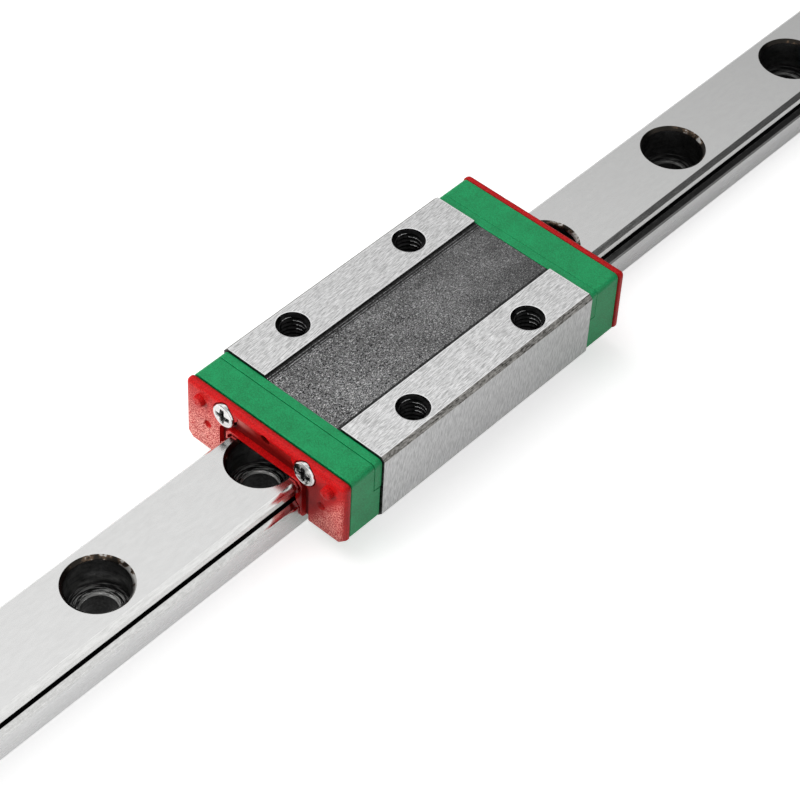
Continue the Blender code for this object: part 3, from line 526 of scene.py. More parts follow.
ground_steel("block_ground_land", grey(1.0), grey(0.50), (600, 10500, 10500), (1500, 9500, 9500), 0.30,
             turn=(0.0, 0.0, math.radians(-6)), soft=0.17)
ground_steel("block_ground_side", grey(0.76), grey(0.50), (7000, 7000, 800), (7500, 7500, 1300), 0.34,
             turn=(0.0, math.radians(-12), 0.0), soft=0.18)
# Painted highlight on the lands' edges and on the rims of the tapped holes.
ground_steel("block_bright_edge", grey(1.0), grey(0.92), (1500, 1500, 1500), (3000, 3000, 3000), 0.28)
ground_steel("block_rough_chamfer", (0.62, 0.60, 0.57), (0.03, 0.028, 0.025), (700, 9000, 9000),
             (2500, 6000, 6000), 0.42)
# Painted shade along the recess walls, on the block's end faces and round their broken edge.
ground_steel("block_dark_corner", grey(0.10), grey(0.010), (3000, 3000, 3000), (7000, 7000, 7000), 0.5)


def blasted_steel():
    """The recess floor: dull grey with a fine grain, black pits and short light scratches, softer towards +X and
    darkened towards +X by painted shade.
    """
    tree = graph("block_blasted_recess")
    place = object_place(tree)

    def scatter(scale, low, high, detail=2.0):
        """Where a noise of this scale rises: 0 up to low and 1 from high on."""
        return ranged(tree, noise(tree, place, scale, detail, 0.6), low, high)

    grain = scatter((12500.0, 12500.0, 12500.0), 0.43, 0.57, 1.0)
    clouds = scatter((200.0, 260.0, 260.0), 0.35, 0.65)
    scratches = scatter((4500.0, 11000.0, 11000.0), 0.57, 0.64)
    pits = scatter((8500.0, 8500.0, 8500.0), 0.58, 0.62, 1.0)
    base = mixed(tree, grain, (0.062, 0.062, 0.064), (0.440, 0.440, 0.442))
    base = mixed(tree, pits, mixed(tree, scratches, base, grey(0.95)), grey(0.004))
    softer = ranged(tree, split(tree, place)[0], -0.012, 0.012, 0.0, 0.5)
    base = mixed(tree, softer, base, (0.205, 0.205, 0.207))
    finished(tree, {"Base Color": mixed(tree, 0.22, base, clouds, "OVERLAY"), "Metallic": 0.9, "Roughness": 0.6,
                    "Normal": risen(tree, grain, 0.5, 0.00001)})
    dimmed_along(tree, 0.002, 0.014, 0.8)


blasted_steel()
# Painted shade: the tapped and blind holes near black. Painted highlight: their lit thread crests.
ground_steel("threaded_hole", grey(0.012), grey(0.005), (1500, 1500, 1500), (3000, 3000, 3000), 0.25)
ground_steel("thread_crest", grey(0.42), grey(0.05), (3500, 3500, 3500), (6000, 6000, 6000), 0.20)


def inset(loop, distance):
    """A closed (a, b) loop moved inwards: each corner goes along its bisector, so that both its edges move by the
    distance."""
    area = np.sum(loop[:, 0] * np.roll(loop[:, 1], -1) - np.roll(loop[:, 0], -1) * loop[:, 1])
    edge = np.roll(loop, -1, axis=0) - loop
    edge /= np.linalg.norm(edge, axis=1, keepdims=True)
    normal = np.column_stack([-edge[:, 1], edge[:, 0]]) * math.copysign(1.0, area)
    before = np.roll(normal, 1, axis=0)
    spread = 1.0 + np.sum(normal * before, axis=1, keepdims=True)
    return loop + distance * (normal + before) / np.maximum(spread, 0.3)


def thread_loops(centre, angles, top, depth, minor=0.00123, major=0.0015, pitch=0.0005, step=0.000025):
    """An inside thread: radius = minor + (major - minor) * a triangle wave of z / pitch + angle / 360, and where its
    crests get a painted highlight: all round the first turn, and within 0.8 radians of the lit way on the next three."""
    loops, lit = [], []
    off_way = np.abs(np.mod(angles - HIGHLIGHT_WAY + math.pi, 2 * math.pi) - math.pi)
    for z in np.arange(top, top - depth, -step):
        turn = np.mod(z / pitch + angles / (2 * math.pi), 1.0)
        painted_shine = (z > top - 0.0006) | ((z > top - 0.0020) & (off_way < 0.8))
        lit.append((turn > 0.47) & (turn < 0.64) & (z < top - 0.00012) & painted_shine)
        cut = smooth_step((top - z) / 0.0001)
        wave = np.clip(np.abs(2.0 * turn - 1.0) * 1.3 - 0.15, 0.0, 1.0)
        loops.append(circle(centre, minor + (major - minor) * (cut * wave + (1.0 - cut)), angles, z))
    return loops, np.array(lit)


def block_surfaces():
    """Lands as stacks of loops down through each tapped hole, the rest of the section carried along X."""
    end = BLOCK_END - END_BREAK
    land_outer = BLOCK_HALF - TOP_CHAMFER
    inside_end = end - HIGHLIGHT_STRIP
    surfaces, all_xs, land_ys = [], [np.array([-end, end])], {}
    for middle_x, middle_y in MOUNTS:
        side = int(math.copysign(1, middle_y))
        corner_x = math.copysign(inside_end, middle_x)
        xs = fan_out(min(0.0, corner_x), middle_x, max(0.0, corner_x), 0.002, 5.0)
        land_inner = LAND_INNER[side] + LAND_BREAK
        edges = sorted((side * (land_inner + HIGHLIGHT_STRIP), side * (land_outer - HIGHLIGHT_STRIP)))
        ys = fan_out(edges[0], middle_y, edges[1], 0.0065, 5.0)
        land_ys[side] = ys if side > 0 else ys[::-1]
        all_xs.append(xs)
        edge = plate_edge(xs, ys, BLOCK_TOP)
        centre = (middle_x, middle_y)
        angles = np.arctan2(edge[:, 1] - middle_y, edge[:, 0] - middle_x)
        rim = [circle(centre, radius, angles, BLOCK_TOP - depth) for radius, depth in HOLE_RIM]
        threads, lit = thread_loops(centre, angles, BLOCK_TOP - THREAD_START, THREAD_DEPTH)
        point = [circle(centre, radius, angles, z) for radius, z in DRILL_POINT]
        strip_end = [np.column_stack([np.full(len(ys), x), ys, np.full(len(ys), BLOCK_TOP)])
                     for x in (corner_x, math.copysign(end, middle_x))]
        surfaces += [
            carried([edge] + rim[:1], "block_ground_land"),
            carried(rim[:2], "block_bright_edge"),
            carried([rim[1], rim[2], threads[0]], "threaded_hole"),
            carried(threads, np.where(lit[:-1], "thread_crest", "threaded_hole").reshape(-1)),
            carried(threads[-1:] + point, "threaded_hole"),
            carried(strip_end, "block_bright_edge", closed=False),
        ]
    xs = np.unique(np.round(np.concatenate(all_xs), 9))
    inner = np.array([
        (CHANNEL_HALF - CHANNEL_CORNER, CHANNEL_TOP), (CHANNEL_HALF, CHANNEL_TOP - CHANNEL_CORNER),
        *raceway_arc(CHANNEL_HALF, 1, RACEWAY_RADIUS)[::-1], (CHANNEL_HALF, BLOCK_FOOT + FOOT_CHAMFER),
        (CHANNEL_HALF + FOOT_CHAMFER, BLOCK_FOOT), (BLOCK_HALF - FOOT_CHAMFER, BLOCK_FOOT)])
    outer = np.array([
        (BLOCK_HALF - FOOT_CHAMFER, BLOCK_FOOT), (BLOCK_HALF, BLOCK_FOOT + FOOT_CHAMFER),
        (BLOCK_HALF, BLOCK_TOP - TOP_CHAMFER - 0.00003), (BLOCK_HALF - 0.00003, BLOCK_TOP - TOP_CHAMFER + 0.00002),
        (land_outer + 0.00003, BLOCK_TOP - 0.00002), (land_outer, BLOCK_TOP)])
    left, right = LAND_INNER[1], LAND_INNER[-1]
    ledge, low = RECESS_LEDGE, RECESS_FLOOR

    def land_edge(inner):
        """The land's inner edge: a strip of painted highlight, then the broken edge down towards the recess."""
        corner = inner + LAND_BREAK
        return [(corner + HIGHLIGHT_STRIP, BLOCK_TOP), (corner, BLOCK_TOP), (inner, BLOCK_TOP - LAND_BREAK)]

    # The dark steps and strips along the recess walls are painted shade.
    left_steps = (
        (land_edge(left), "block_bright_edge"),
        ([(left, BLOCK_TOP - LAND_BREAK), (left - 0.00002, ledge), (0.00452, ledge)], "block_dark_corner"),
        ([(0.00452, ledge), (0.00444, ledge)], "block_blasted_recess"),
        ([(0.00444, ledge), (0.00442, low), (0.00427, low)], "block_dark_corner"),
        ([(0.00427, low), (0.00414, low)], "block_blasted_recess"),
        ([(0.00414, low), (0.00405, low)], "block_dark_corner"))
    right_steps = (
        (land_edge(right), "block_bright_edge"),
        ([(right, BLOCK_TOP - LAND_BREAK), (right, low), (right - 0.00042, low)], "block_dark_corner"))
    outer_strip = np.array([(land_outer, BLOCK_TOP), (land_outer - HIGHLIGHT_STRIP, BLOCK_TOP)])
    walls = ((inner, "block_ground_side"), (outer[:3], "block_ground_side"), (outer[2:], "block_rough_chamfer"),
             (outer_strip, "block_bright_edge"))
    for side, steps in ((1.0, left_steps), (-1.0, right_steps)):
        surfaces += [bar(np.array(outline) * (side, 1.0), xs, finish) for outline, finish in walls + steps]
    ceiling = np.array([inner[0], other_side(inner[:1])[0]])
    floor = np.array([left_steps[-1][0][-1], right_steps[-1][0][-1]]) * ((1.0, 1.0), (-1.0, 1.0))
    surfaces += [bar(ceiling, xs, "block_ground_side"), bar(floor, xs, "block_blasted_recess")]
    halves = []
    for side, steps in ((1, left_steps), (-1, right_steps)):
        land = np.column_stack([np.abs(land_ys[side][::-1]), np.full(len(land_ys[side]), BLOCK_TOP)])
        down = [np.array(step)[1:] for step, _ in steps[1:]]
        halves.append(np.concatenate([inner, outer[1:], land, steps[0][0][1:], *down]))
    section = np.concatenate([halves[0], other_side(halves[1])[::-1]])
    smaller = inset(section, END_BREAK)
    over_recess = np.arange(len(section)) == len(halves[0]) - 1
    turn = np.linspace(0.0, 2 * math.pi, 33)[:-1]
    for side in (-1, 1):
        face_x = side * BLOCK_END
        holes = []
        for side_y in (-1, 1):
            for across, up, radius, blind_x in END_HOLES:
                ring = np.column_stack([side_y * across + radius * np.cos(turn), up + radius * np.sin(turn)])
                holes.append(along_x(ring, [face_x])[0])
                if blind_x:
                    tip = np.broadcast_to((side * (blind_x - 0.0004), side_y * across, up), (len(ring), 3))
                    surfaces.append(carried(along_x(ring, [face_x, side * blind_x]) + [tip], "threaded_hole"))
                elif side > 0:
                    surfaces.append(carried(along_x(ring, [-BLOCK_END, BLOCK_END]), "block_ground_side"))
        face = along_x(smaller, [face_x])[0]
        # The end face and its broken edge are painted shade, except over the recess.
        surfaces += [
            carried([along_x(section, [side * end])[0], face],
                    np.where(over_recess, "block_ground_land", "block_dark_corner")),
            flat_fill([face] + holes, "block_dark_corner"),
        ]
    return surfaces


made_piece("ground_block", block_surfaces(), "carriage", ["carriage_block"],
           smooth=25.0, flat=[2])

# Return plates and end caps.
# Green injection-moulded plastic, screwed to each end of the block. The thin plate against the steel holds
# the cores of the ball turns and the cap outside it the turns themselves: a fine parting line shows between.

END_HALF, END_TOP, END_FOOT = 0.0098, 0.00975, 0.0024
END_SHOULDER, END_FOOT_CHAMFER = 0.0005, 0.0003
PLATE_IN, PLATE_OUT = 0.01458, 0.01550
CAP_IN = {"near": 0.01557, "far": 0.01552}
CAP_OUT = {"near": 0.01854, "far": 0.01866}
PLATE_ROUNDING, CAP_ROUNDING = 0.00004, 0.00006
RAIL_CLEARANCE = 0.0003
SKIRT_IN, SKIRT_HALF, SKIRT_TOP = 0.01470, 0.00950, 0.00650
SKIRT_STEP = 0.00002
SHANK_HOLE_RADIUS = 0.0008
GREASE_Z, GREASE_RADIUS = 0.00875, 0.00055


def end_outline(foot, foot_chamfer, half_width=END_HALF, steps=9):
    """(y, z) of an end piece from its right foot over its rounded shoulders to its left foot."""
    turn = np.linspace(0.0, math.pi / 2, steps)
    rounded = END_SHOULDER * np.column_stack([1 - np.cos(turn), 1 - np.sin(turn)])
    side = [(half_width - foot_chamfer, foot), (half_width, foot + foot_chamfer)]
    half = np.concatenate([side, (half_width, END_TOP) - rounded])
    return np.concatenate([half, other_side(half)[::-1]])


def rail_way(clearance, foot):
    """(y, z) of the way for the rail through an end piece, left foot to right foot, with a tongue in each raceway."""
    wall, top = RAIL_HALF + clearance, RAIL_TOP + clearance
    half = np.concatenate([[(wall, foot)], raceway_arc(wall, -1, RACEWAY_RADIUS - clearance, 12),
                           [(wall, top - RAIL_CHAMFER), (wall - RAIL_CHAMFER, top)]])
    return np.concatenate([other_side(half), half[::-1]])


def within(loop, points):
    """Whether each point lies inside a closed loop: a ray from it crosses the loop an odd number of times."""
    a, b = loop, np.roll(loop, -1, axis=0)
    y, z = points[:, :1], points[:, 1:]
    spans = (a[:, 1] > z) != (b[:, 1] > z)
    rise = np.where(b[:, 1] == a[:, 1], 1.0, b[:, 1] - a[:, 1])
    crossing = a[:, 0] + (z - a[:, 1]) / rise * (b[:, 0] - a[:, 0])
    return (spans & (y < crossing)).sum(axis=1) % 2 == 1


def depth_inside(loop, points):
    """Distance of each point from a closed loop's edge, positive inside it."""
    a, b = loop, np.roll(loop, -1, axis=0)
    along = b - a
    reach = points[:, None, :] - a
    share = np.clip((reach * along).sum(-1) / (along**2).sum(-1), 0.0, 1.0)
    away = np.linalg.norm(reach - share[..., None] * along, axis=-1).min(axis=1)
    return np.where(within(loop, points), away, -away)


def moulded_plate(outline, holes, lines, front, back):
    """A plate over the region inside an outline and outside its holes: x = front(y, z) on one face and
    x = back(y, z) on the other, joined round every edge. The lines are loops that the faces must follow."""
    loops = [outline, *holes, *lines]
    starts = np.cumsum([0] + [len(loop) for loop in loops])
    edges = [(start + i, start + (i + 1) % len(loop)) for start, loop in zip(starts, loops) for i in range(len(loop))]
    flat = (np.concatenate(loops) * 1000.0).tolist()
    met, _, triangles, *_ = delaunay_2d_cdt(flat, edges, [], 0, 1e-5)
    met = np.array([tuple(point) for point in met]) / 1000.0
    triangles = np.array([tuple(corners) for corners in triangles])
    middle = met[triangles].mean(axis=1)
    kept = within(outline, middle)
    for hole in holes:
        kept &= ~within(hole, middle)
    used, triangles = np.unique(triangles[kept], return_inverse=True)
    met, triangles = met[used], triangles.reshape(-1, 3)
    sides = np.concatenate([triangles[:, [0, 1]], triangles[:, [1, 2]], triangles[:, [2, 0]]])
    _, first, count = np.unique(np.sort(sides, axis=1), axis=0, return_index=True, return_counts=True)
    rim = sides[first[count == 1]]
    size = len(met)
    points = np.concatenate([np.column_stack([front(met), met]), np.column_stack([back(met), met])])
    walls = np.column_stack([rim[:, 0], rim[:, 1], rim[:, 1] + size, rim[:, 0] + size])
    return points, triangles.tolist() + (triangles[:, ::-1] + size).tolist() + walls.tolist()


def round_hole(y, z, radius, steps=40):
    """(y, z) of a circle about a place, evenly stepped."""
    turn = np.linspace(0.0, 2 * math.pi, steps + 1)[:-1]
    return np.column_stack([y + radius * np.cos(turn), z + radius * np.sin(turn)])


def edge_drop(depth, radius):
    """How far a face lies back at a depth inside its edge: a quarter circle, radius - sqrt(r^2 - (r - d)^2)."""
    short = radius - np.clip(depth, 0.0, radius)
    return radius - np.sqrt(radius**2 - short**2)


def rounding_lines(outline, radius, steps=5):
    """The outline moved inwards by radius * (1 - cos a) for even steps of a up to a right angle."""
    turn = np.linspace(0.0, math.pi / 2, steps + 1)[1:]
    return [inset(outline, radius * (1 - math.cos(angle))) for angle in turn]


def mirrored_ends(points, faces, finish):
    """The far end's surface and, turned half round, the near end's."""
    return (points, faces, finish), (points * (-1.0, -1.0, 1.0), faces, finish)


def moulded_plastic(name, colour, deep, roughness, grain, bump, gloss=0.5):
    """Moulded plastic: a fine satin grain, with the colour a little deeper in its pits and in soft clouds."""
    tree = graph(name)
    place = object_place(tree)
    pits = noise(tree, place, grain, 3.0, 0.6)
    both = reckoned(tree, "ADD", pits, reckoned(tree, "MULTIPLY", noise(tree, place, 600.0, 2.0), 0.25))
    finished(tree, {
        "Base Color": mixed(tree, ranged(tree, both, 0.50, 0.73), deep, colour), "Roughness": roughness,
        "Specular IOR Level": gloss, "Normal": risen(tree, pits, bump, 0.00001)})
    return tree


moulded_plastic("green_moulding", (0.010, 0.385, 0.130), (0.005, 0.225, 0.070), 0.38, 9000.0, 0.5, gloss=0.35)


def return_plate(holes):
    """The plate's sides end at the cap's skirt; both its faces are flat, with rounded edges."""
    half = end_outline(END_FOOT, END_FOOT_CHAMFER)[2:]
    half = half[: len(half) // 2]
    skirt_side = SKIRT_HALF - 0.00005
    half = np.concatenate([[(skirt_side, END_FOOT), (skirt_side, SKIRT_TOP), (END_HALF, SKIRT_TOP)], half])
    outline = np.concatenate([half, other_side(half)[::-1], rail_way(RAIL_CLEARANCE, END_FOOT)])

    def drop(points):
        """How far both faces lie back near the plate's edge."""
        return edge_drop(depth_inside(outline, points), PLATE_ROUNDING)

    return moulded_plate(outline, holes, rounding_lines(outline, PLATE_ROUNDING, 3),
                         lambda points: PLATE_OUT - drop(points), lambda points: PLATE_IN + drop(points))


def end_cap(holes, cap_in, cap_out):
    """The cap's inner face stands at cap_in, and its two skirts reach past the plate to the block's end."""
    outline = np.concatenate([end_outline(END_FOOT, END_FOOT_CHAMFER), rail_way(RAIL_CLEARANCE, END_FOOT)])
    top = SKIRT_TOP - 0.00011
    box = np.array([(SKIRT_HALF, 0.002), (0.0102, 0.002), (0.0102, top), (SKIRT_HALF, top)])
    skirts = [loop for side in (-1, 1) for loop in (box * (side, 1.0), inset(box * (side, 1.0), SKIRT_STEP))]

    def back(points):
        """x of the inner face: cap_in, and SKIRT_IN within a skirt."""
        reach = sum(smooth_step(depth_inside(skirt, points) / SKIRT_STEP) for skirt in skirts[::2])
        return cap_in - (cap_in - SKIRT_IN) * reach + edge_drop(depth_inside(outline, points), PLATE_ROUNDING)

    return moulded_plate(
        outline, holes, rounding_lines(outline, CAP_ROUNDING, 3) + skirts,
        lambda points: cap_out - edge_drop(depth_inside(outline, points), CAP_ROUNDING), back)


shanks = [round_hole(side * SCREW_Y, SCREW_Z, SHANK_HOLE_RADIUS, 24) for side in (-1, 1)]
cap_holes = shanks + [round_hole(0.0, GREASE_Z, GREASE_RADIUS, 24)]
for end_name, plate in zip(("far", "near"), mirrored_ends(*return_plate(shanks), "green_moulding")):
    made_piece(f"green_return_plate_{end_name}", [plate], "carriage", [f"return_plate_{end_name}"])
for number, end_name in enumerate(("far", "near")):
    cap = mirrored_ends(*end_cap(cap_holes, CAP_IN[end_name], CAP_OUT[end_name]), "green_moulding")[number]
    made_piece(f"green_end_cap_{end_name}", [cap], "carriage", [f"end_cap_{end_name}"])

# End seals.
# Red moulded plate at each end, held by the same two screws. A raised lip wipes the rail, a sunk border runs
# round it and up between the screws, and each shoulder has a stud and a dimple.

SEAL_IN, SEAL_FACE = 0.01870, 0.01955
SEAL_FOOT, SEAL_FOOT_CHAMFER, SEAL_HALF = 0.0021, 0.0007, 0.00995
SEAL_ROUNDING, SEAL_BACK_ROUNDING = 0.0005, 0.00015
SEAL_CLEARANCE = 0.0001
POCKET_RADIUS = 0.00137
LIP_PROUD = 0.00002
MOAT_DEPTH, MOAT_TOP = 0.00050, 0.0092
DRAFT = 0.00004
STUD_Y, STUD_Z, STUD_HEIGHT = 0.0080, 0.0082, 0.00055
STUD_RINGS = (0.00064, 0.00061, 0.00058, 0.00052, 0.0004, 0.00014, 0.0001)  # the first is the stud's foot
DIMPLE_Y, DIMPLE_Z, DIMPLE_DEPTH = 0.00714, 0.0056, 0.00024
DIMPLE_RINGS = (0.00050, 0.00045, 0.00040, 0.0003, 0.00015)


def scuffed_red():
    """Red plastic whose face, which looks along X, shows pale specks low down on its legs, none in the dimples: a
    painted sheen. The legs are told apart by x * y: below 0 on the lit side. On the other one the specks stay under a
    line that falls towards the rail, z = 65.6 x y - 0.0040, and the red above it is deeper by the rail: painted shade."""
    tree = moulded_plastic("red_moulding", (0.69, 0.009, 0.010), (0.40, 0.002, 0.003), 0.38, 9500.0, 1.0, gloss=0.22)
    where = add(tree, "TexCoord").outputs
    east, north, up = split(tree, where["Object"])
    facing = split(tree, where["Normal"])[0]

    def share(value, start, end, low=0.0, high=1.0):
        """As ranged, for this finish."""
        return ranged(tree, value, start, end, low, high)

    def times(first, *others):
        """All of them multiplied together."""
        for other in others:
            first = reckoned(tree, "MULTIPLY", first, other)
        return first

    leg = times(east, north)
    # Painted sheen: pale specks low on the lit leg, and under the falling line on the other.
    painted_sheen_leg = times(share(leg, -0.000106, -0.00007, 1.0, 0.0), share(up, 0.0089, 0.0050, 0.06, 1.0))
    under_line = reckoned(tree, "SUBTRACT", times(leg, 65.6), up)
    painted_sheen = reckoned(tree, "MAXIMUM", painted_sheen_leg, share(under_line, 0.0038, 0.0054, 0.0, 0.70))
    out = share(reckoned(tree, "ABSOLUTE", east), SEAL_FACE - 0.00020, SEAL_FACE - 0.00008)
    peaks = share(noise(tree, where["Object"], 9500.0, 3.0, 0.6), 0.46, 0.56)
    pale = times(painted_sheen, times(times(peaks, out), reckoned(tree, "POWER", facing, 4.0)))
    # Painted shade by the rail on the leg that looks away from the light.
    painted_shade_by_rail = times(share(leg, 0.000080, 0.000090), share(leg, 0.000126, 0.000178, 0.86, 0.12))
    shaded = times(painted_shade_by_rail, times(share(up, 0.0088, 0.0078), share(up, 0.0024, 0.0052)))
    deeper = mixed(tree, shaded, colour_so_far(tree), (0.13, 0.0, 0.0))
    finished(tree, {"Base Color": mixed(tree, pale, deeper, (0.97, 0.46, 0.39))})


def sunk_red():
    """The sunk border's red: a darker copy of the face's red that deepens from its top edge down to the lip, all
    painted shade, with pale specks on the lit side as a painted sheen.
    """
    tree = moulded_plastic("red_sunk_border", (0.44, 0.014, 0.012), (0.27, 0.006, 0.005), 0.42, 7000.0, 0.6, gloss=0.2)
    east, north, up = split(tree, object_place(tree))
    deeper = mixed(tree, ranged(tree, up, 0.0076, MOAT_TOP, 0.72, 0.0), colour_so_far(tree), (0.03, 0.0, 0.0))
    lit = ranged(tree, reckoned(tree, "MULTIPLY", east, north), -0.00006, -0.00002, 0.55, 0.0)
    pale = reckoned(tree, "MULTIPLY", lit, ranged(tree, up, 0.0078, 0.0086))
    finished(tree, {"Base Color": mixed(tree, pale, deeper, (0.80, 0.24, 0.20))})


scuffed_red()
sunk_red()
# Painted shade: a darker red for the seal's back and for its edges behind the front rounding.
moulded_plastic("red_back", (0.46, 0.010, 0.010), (0.28, 0.004, 0.004), 0.42, 7000.0, 0.6, gloss=0.2)


def shoulder_way(wall, top, middle=None, middle_top=None):
    """(y, z) of an upside-down U, left foot to right foot: chamfered at its top, or stepped in to a middle part."""
    foot = SEAL_FOOT - 0.0002
    if middle is None:
        half = np.array([(wall, foot), (wall, top - RAIL_CHAMFER), (wall - RAIL_CHAMFER, top)])
    else:
        half = np.array([(wall, foot), (wall, top), (middle, top + wall - middle), (middle, middle_top)])
    return np.concatenate([other_side(half), half[::-1]])


def seal_plate():
    """The seal's front is one height over (y, z): the flat face, less the rounding towards the outline, less
    the sunk border, plus the lip and the studs, less the dimples. Each step climbs over a short draft."""
    outside = end_outline(SEAL_FOOT, SEAL_FOOT_CHAMFER, SEAL_HALF)
    outline = np.concatenate([outside, rail_way(SEAL_CLEARANCE, SEAL_FOOT)])
    moat = shoulder_way(0.0056, 0.0065, 0.0034, MOAT_TOP)
    lip = shoulder_way(0.0048, 0.0069)
    pockets = [round_hole(side * SCREW_Y, SCREW_Z, POCKET_RADIUS, 64) for side in (-1, 1)]
    grease = round_hole(0.0, GREASE_Z, GREASE_RADIUS, 32)
    lines = rounding_lines(outside, SEAL_ROUNDING, 6)
    for loop in (moat, lip):
        lines += [loop, inset(loop, DRAFT), inset(loop, -DRAFT / 2), inset(loop, DRAFT * 1.5)]
    for y, z, rings in ((STUD_Y, STUD_Z, STUD_RINGS), (DIMPLE_Y, DIMPLE_Z, DIMPLE_RINGS)):
        lines += [round_hole(side * y, z, radius) for side in (-1, 1) for radius in rings]
    lines += [round_hole(0.0, GREASE_Z, radius, 32) for radius in (0.00064, 0.0006)]
    lines += [round_hole(side * SCREW_Y, SCREW_Z, POCKET_RADIUS + 0.00006, 64) for side in (-1, 1)]

    def front(points):
        """x of the front at each (y, z)."""
        face = SEAL_FACE - edge_drop(depth_inside(outside, points), SEAL_ROUNDING)
        sunk = smooth_step(depth_inside(moat, points) / DRAFT) * np.clip((MOAT_TOP - points[:, 1]) / 0.0018, 0.0, 1.0)
        proud = smooth_step(depth_inside(lip, points) / DRAFT)
        face = face - MOAT_DEPTH * sunk * (1.0 - proud) + LIP_PROUD * proud
        for side in (-1, 1):
            away = np.hypot(points[:, 0] - side * STUD_Y, points[:, 1] - STUD_Z)
            rise = smooth_step((STUD_RINGS[0] - away) / 0.00006) * STUD_HEIGHT
            dome = 0.00008 * np.clip(1.0 - (away / STUD_RINGS[2]) ** 2, 0.0, 1.0)
            face = face + rise + dome - 0.00006 * (away < 0.00012)
        for side in (-1, 1):
            away = np.hypot(points[:, 0] - side * DIMPLE_Y, points[:, 1] - DIMPLE_Z)
            face = face - DIMPLE_DEPTH * smooth_step((0.00048 - away) / 0.0002)
        away = np.hypot(points[:, 0], points[:, 1] - GREASE_Z)
        return face - 0.00005 * smooth_step((0.00062 - away) / 0.00005)

    def back(points):
        """x of the flat back, which is rounded towards the outline."""
        return SEAL_IN + edge_drop(depth_inside(outside, points), SEAL_BACK_ROUNDING)

    points, faces = moulded_plate(outline, pockets + [grease], lines, front, back)
    middle = np.array([points[face].mean(axis=0) for face in faces])[:, 1:]
    # The sunk border and the faces behind the front rounding take darker reds: painted shade.
    sunk = (depth_inside(moat, middle) > DRAFT) & (depth_inside(lip, middle) < 0.0)
    rear = np.array([points[face][:, 0].max() for face in faces]) < SEAL_FACE - SEAL_ROUNDING
    return points, faces, np.where(sunk, "red_sunk_border", np.where(rear, "red_back", "red_moulding"))


for end_name, seal in zip(("far", "near"), mirrored_ends(*seal_plate())):
    made_piece(f"red_end_seal_{end_name}", [seal], "carriage", [f"end_seal_{end_name}"],
               smooth=40.0)

# End screws.
# Bright plated pan-head screws with a crossed recess. They hold the seal, the cap and the return plate
# against the block, and their heads stand in pockets of the seal.

SCREW_SEAT = {"near": 0.01870, "far": 0.01862}
HEAD_HEIGHT = {"near": 0.00116, "far": 0.00098}
HEAD_RADIUS, HEAD_FALL = 0.00127, 0.00014
CROSS_ARM, CROSS_REACH, CROSS_DEPTH = 0.00034, 0.00088, 0.00070
SHANK_RADIUS, SCREW_LENGTH = 0.0007, 0.006


def plated_steel():
    """Bright plating, with painted shade over the face of the two heads that lie away from the light, which are told
    apart by x * y above 0. Their rims stay bright."""
    tree = graph("plated_screw")
    place = object_place(tree)
    film = noise(tree, place, 2500.0, 3.0)
    plated_tone = mixed(tree, ranged(tree, film, 0.35, 0.65), (0.78, 0.78, 0.77), (0.94, 0.94, 0.93))
    east, north, up = split(tree, place)
    aside = reckoned(tree, "SUBTRACT", reckoned(tree, "ABSOLUTE", north), SCREW_Y)
    spot = add(tree, "CombineXYZ", {0: aside, 1: reckoned(tree, "SUBTRACT", up, SCREW_Z)}).outputs[0]
    away = add(tree, "VectorMath", {0: spot}, operation="LENGTH").outputs["Value"]
    unlit = ranged(tree, reckoned(tree, "MULTIPLY", east, north), 0.0, 0.00001, 0.0, 0.85)
    painted_shade_face = reckoned(tree, "MULTIPLY", ranged(tree, away, 0.00088, 0.00104, 1.0, 0.0), unlit)
    mottled_painted_shade = reckoned(tree, "MULTIPLY", painted_shade_face, ranged(tree, film, 0.44, 0.58, 1.0, 0.25))
    finished(tree, {
        "Base Color": mixed(tree, mottled_painted_shade, plated_tone, (0.03, 0.035, 0.03)), "Metallic": 1.0,
        "Roughness": ranged(tree, film, 0.0, 1.0, 0.24, 0.14), "Normal": risen(tree, film, 0.25, 0.00001)})


def screw_head(radii, angles, top):
    """The head's height at (r, a): a dome that falls to the rim, less a cross whose arms narrow to their tips."""
    r, a = np.meshgrid(radii, angles, indexing="ij")
    dome = top - HEAD_FALL * (r / HEAD_RADIUS) ** 2 - edge_drop(HEAD_RADIUS - r, HEAD_FALL)
    u, v = np.abs(r * np.cos(a)), np.abs(r * np.sin(a))
    along, across = np.maximum(u, v), np.minimum(u, v)
    arm = CROSS_ARM - 0.13 * along
    wall = smooth_step((arm - across) / 0.00006) * smooth_step((CROSS_REACH - along) / 0.00008)
    return r, a, dome - CROSS_DEPTH * wall * (1.0 - 0.45 * along / 0.00078), wall


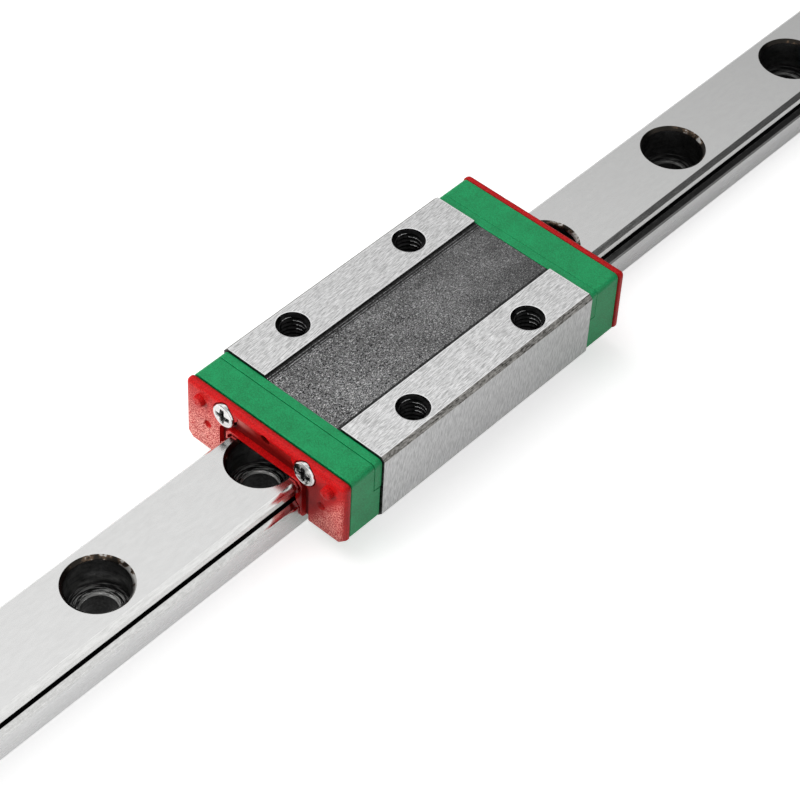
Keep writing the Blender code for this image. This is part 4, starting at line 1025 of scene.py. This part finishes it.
def end_screw(end, side_x, y):
    """Head and shank as loops about X, from the middle of the head round to the tip. The cross recess, and the head's
    side over the third that looks away from the light, are painted shade."""
    angles = np.linspace(0.0, 2 * math.pi, 129)[:-1]
    radii = np.concatenate([[0.0], np.linspace(0.00004, 0.0009, 34), np.linspace(0.00095, HEAD_RADIUS, 14)])
    r, a, height, wall = screw_head(radii, angles, HEAD_HEIGHT[end])
    loops = [np.column_stack([h, rr * np.cos(aa), rr * np.sin(aa)]) for rr, aa, h in zip(r, a, height)]
    profile = [(HEAD_RADIUS, 0.00005), (HEAD_RADIUS - 0.00005, 0.0), (SHANK_RADIUS, 0.0), (SHANK_RADIUS, -0.0056),
               (0.0004, -SCREW_LENGTH), (0.0, -SCREW_LENGTH)]
    for radius, x in profile:
        loops.append(np.column_stack([np.full(len(angles), x), radius * np.cos(angles), radius * np.sin(angles)]))
    sunk = np.concatenate([wall, np.zeros((len(profile), len(angles)))])
    sunk = sunk + np.roll(sunk, -1, axis=1)
    dark = (sunk[:-1] + sunk[1:]) / 4.0 > 0.45
    # Painted shade on the third of the head's side that looks away from the light.
    dark[len(radii) - 1] |= np.cos(angles) > 0.4
    points, faces, names = carried(loops, np.where(dark, "screw_recess", "plated_screw").reshape(-1))
    return points * (side_x, side_x, 1.0) + (side_x * SCREW_SEAT[end], y, SCREW_Z), faces, names


plated_steel()
# Near black with light flecks: painted shade in the cross recess and on the head's shaded side.
ground_steel("screw_recess", grey(0.26), grey(0.006), (3500, 3500, 3500), (7000, 7000, 7000), 0.25)
for end_name, side_x in (("near", -1.0), ("far", 1.0)):
    for side_name, side in (("left", 1.0), ("right", -1.0)):
        screw = end_screw(end_name, side_x, side * SCREW_Y)
        made_piece(f"plated_screw_{end_name}_{side_name}", [screw], "carriage",
                   [f"end_screw_{end_name}_{side_name}"], smooth=50.0)

# Balls and retainer wires.
# Polished bearing balls fill both circuits, and a spring wire along each raceway keeps them in. They are inside the
# carriage, so the solids stay, and those named for balls take a polished finish.


def polished_steel():
    """Polished bearing steel under a faint haze."""
    tree = graph("polished_ball")
    haze = noise(tree, object_place(tree), 1500.0, 2.0)
    shade = mixed(tree, haze, (0.70, 0.70, 0.72), (0.80, 0.80, 0.81))
    finished(tree, {"Base Color": shade, "Metallic": 1.0, "Roughness": ranged(tree, haze, 0.0, 1.0, 0.05, 0.14)})


polished_steel()
for name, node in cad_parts.items():
    if "ball" in name:
        node.data.materials.clear()
        node.data.materials.append(bpy.data.materials["polished_ball"])
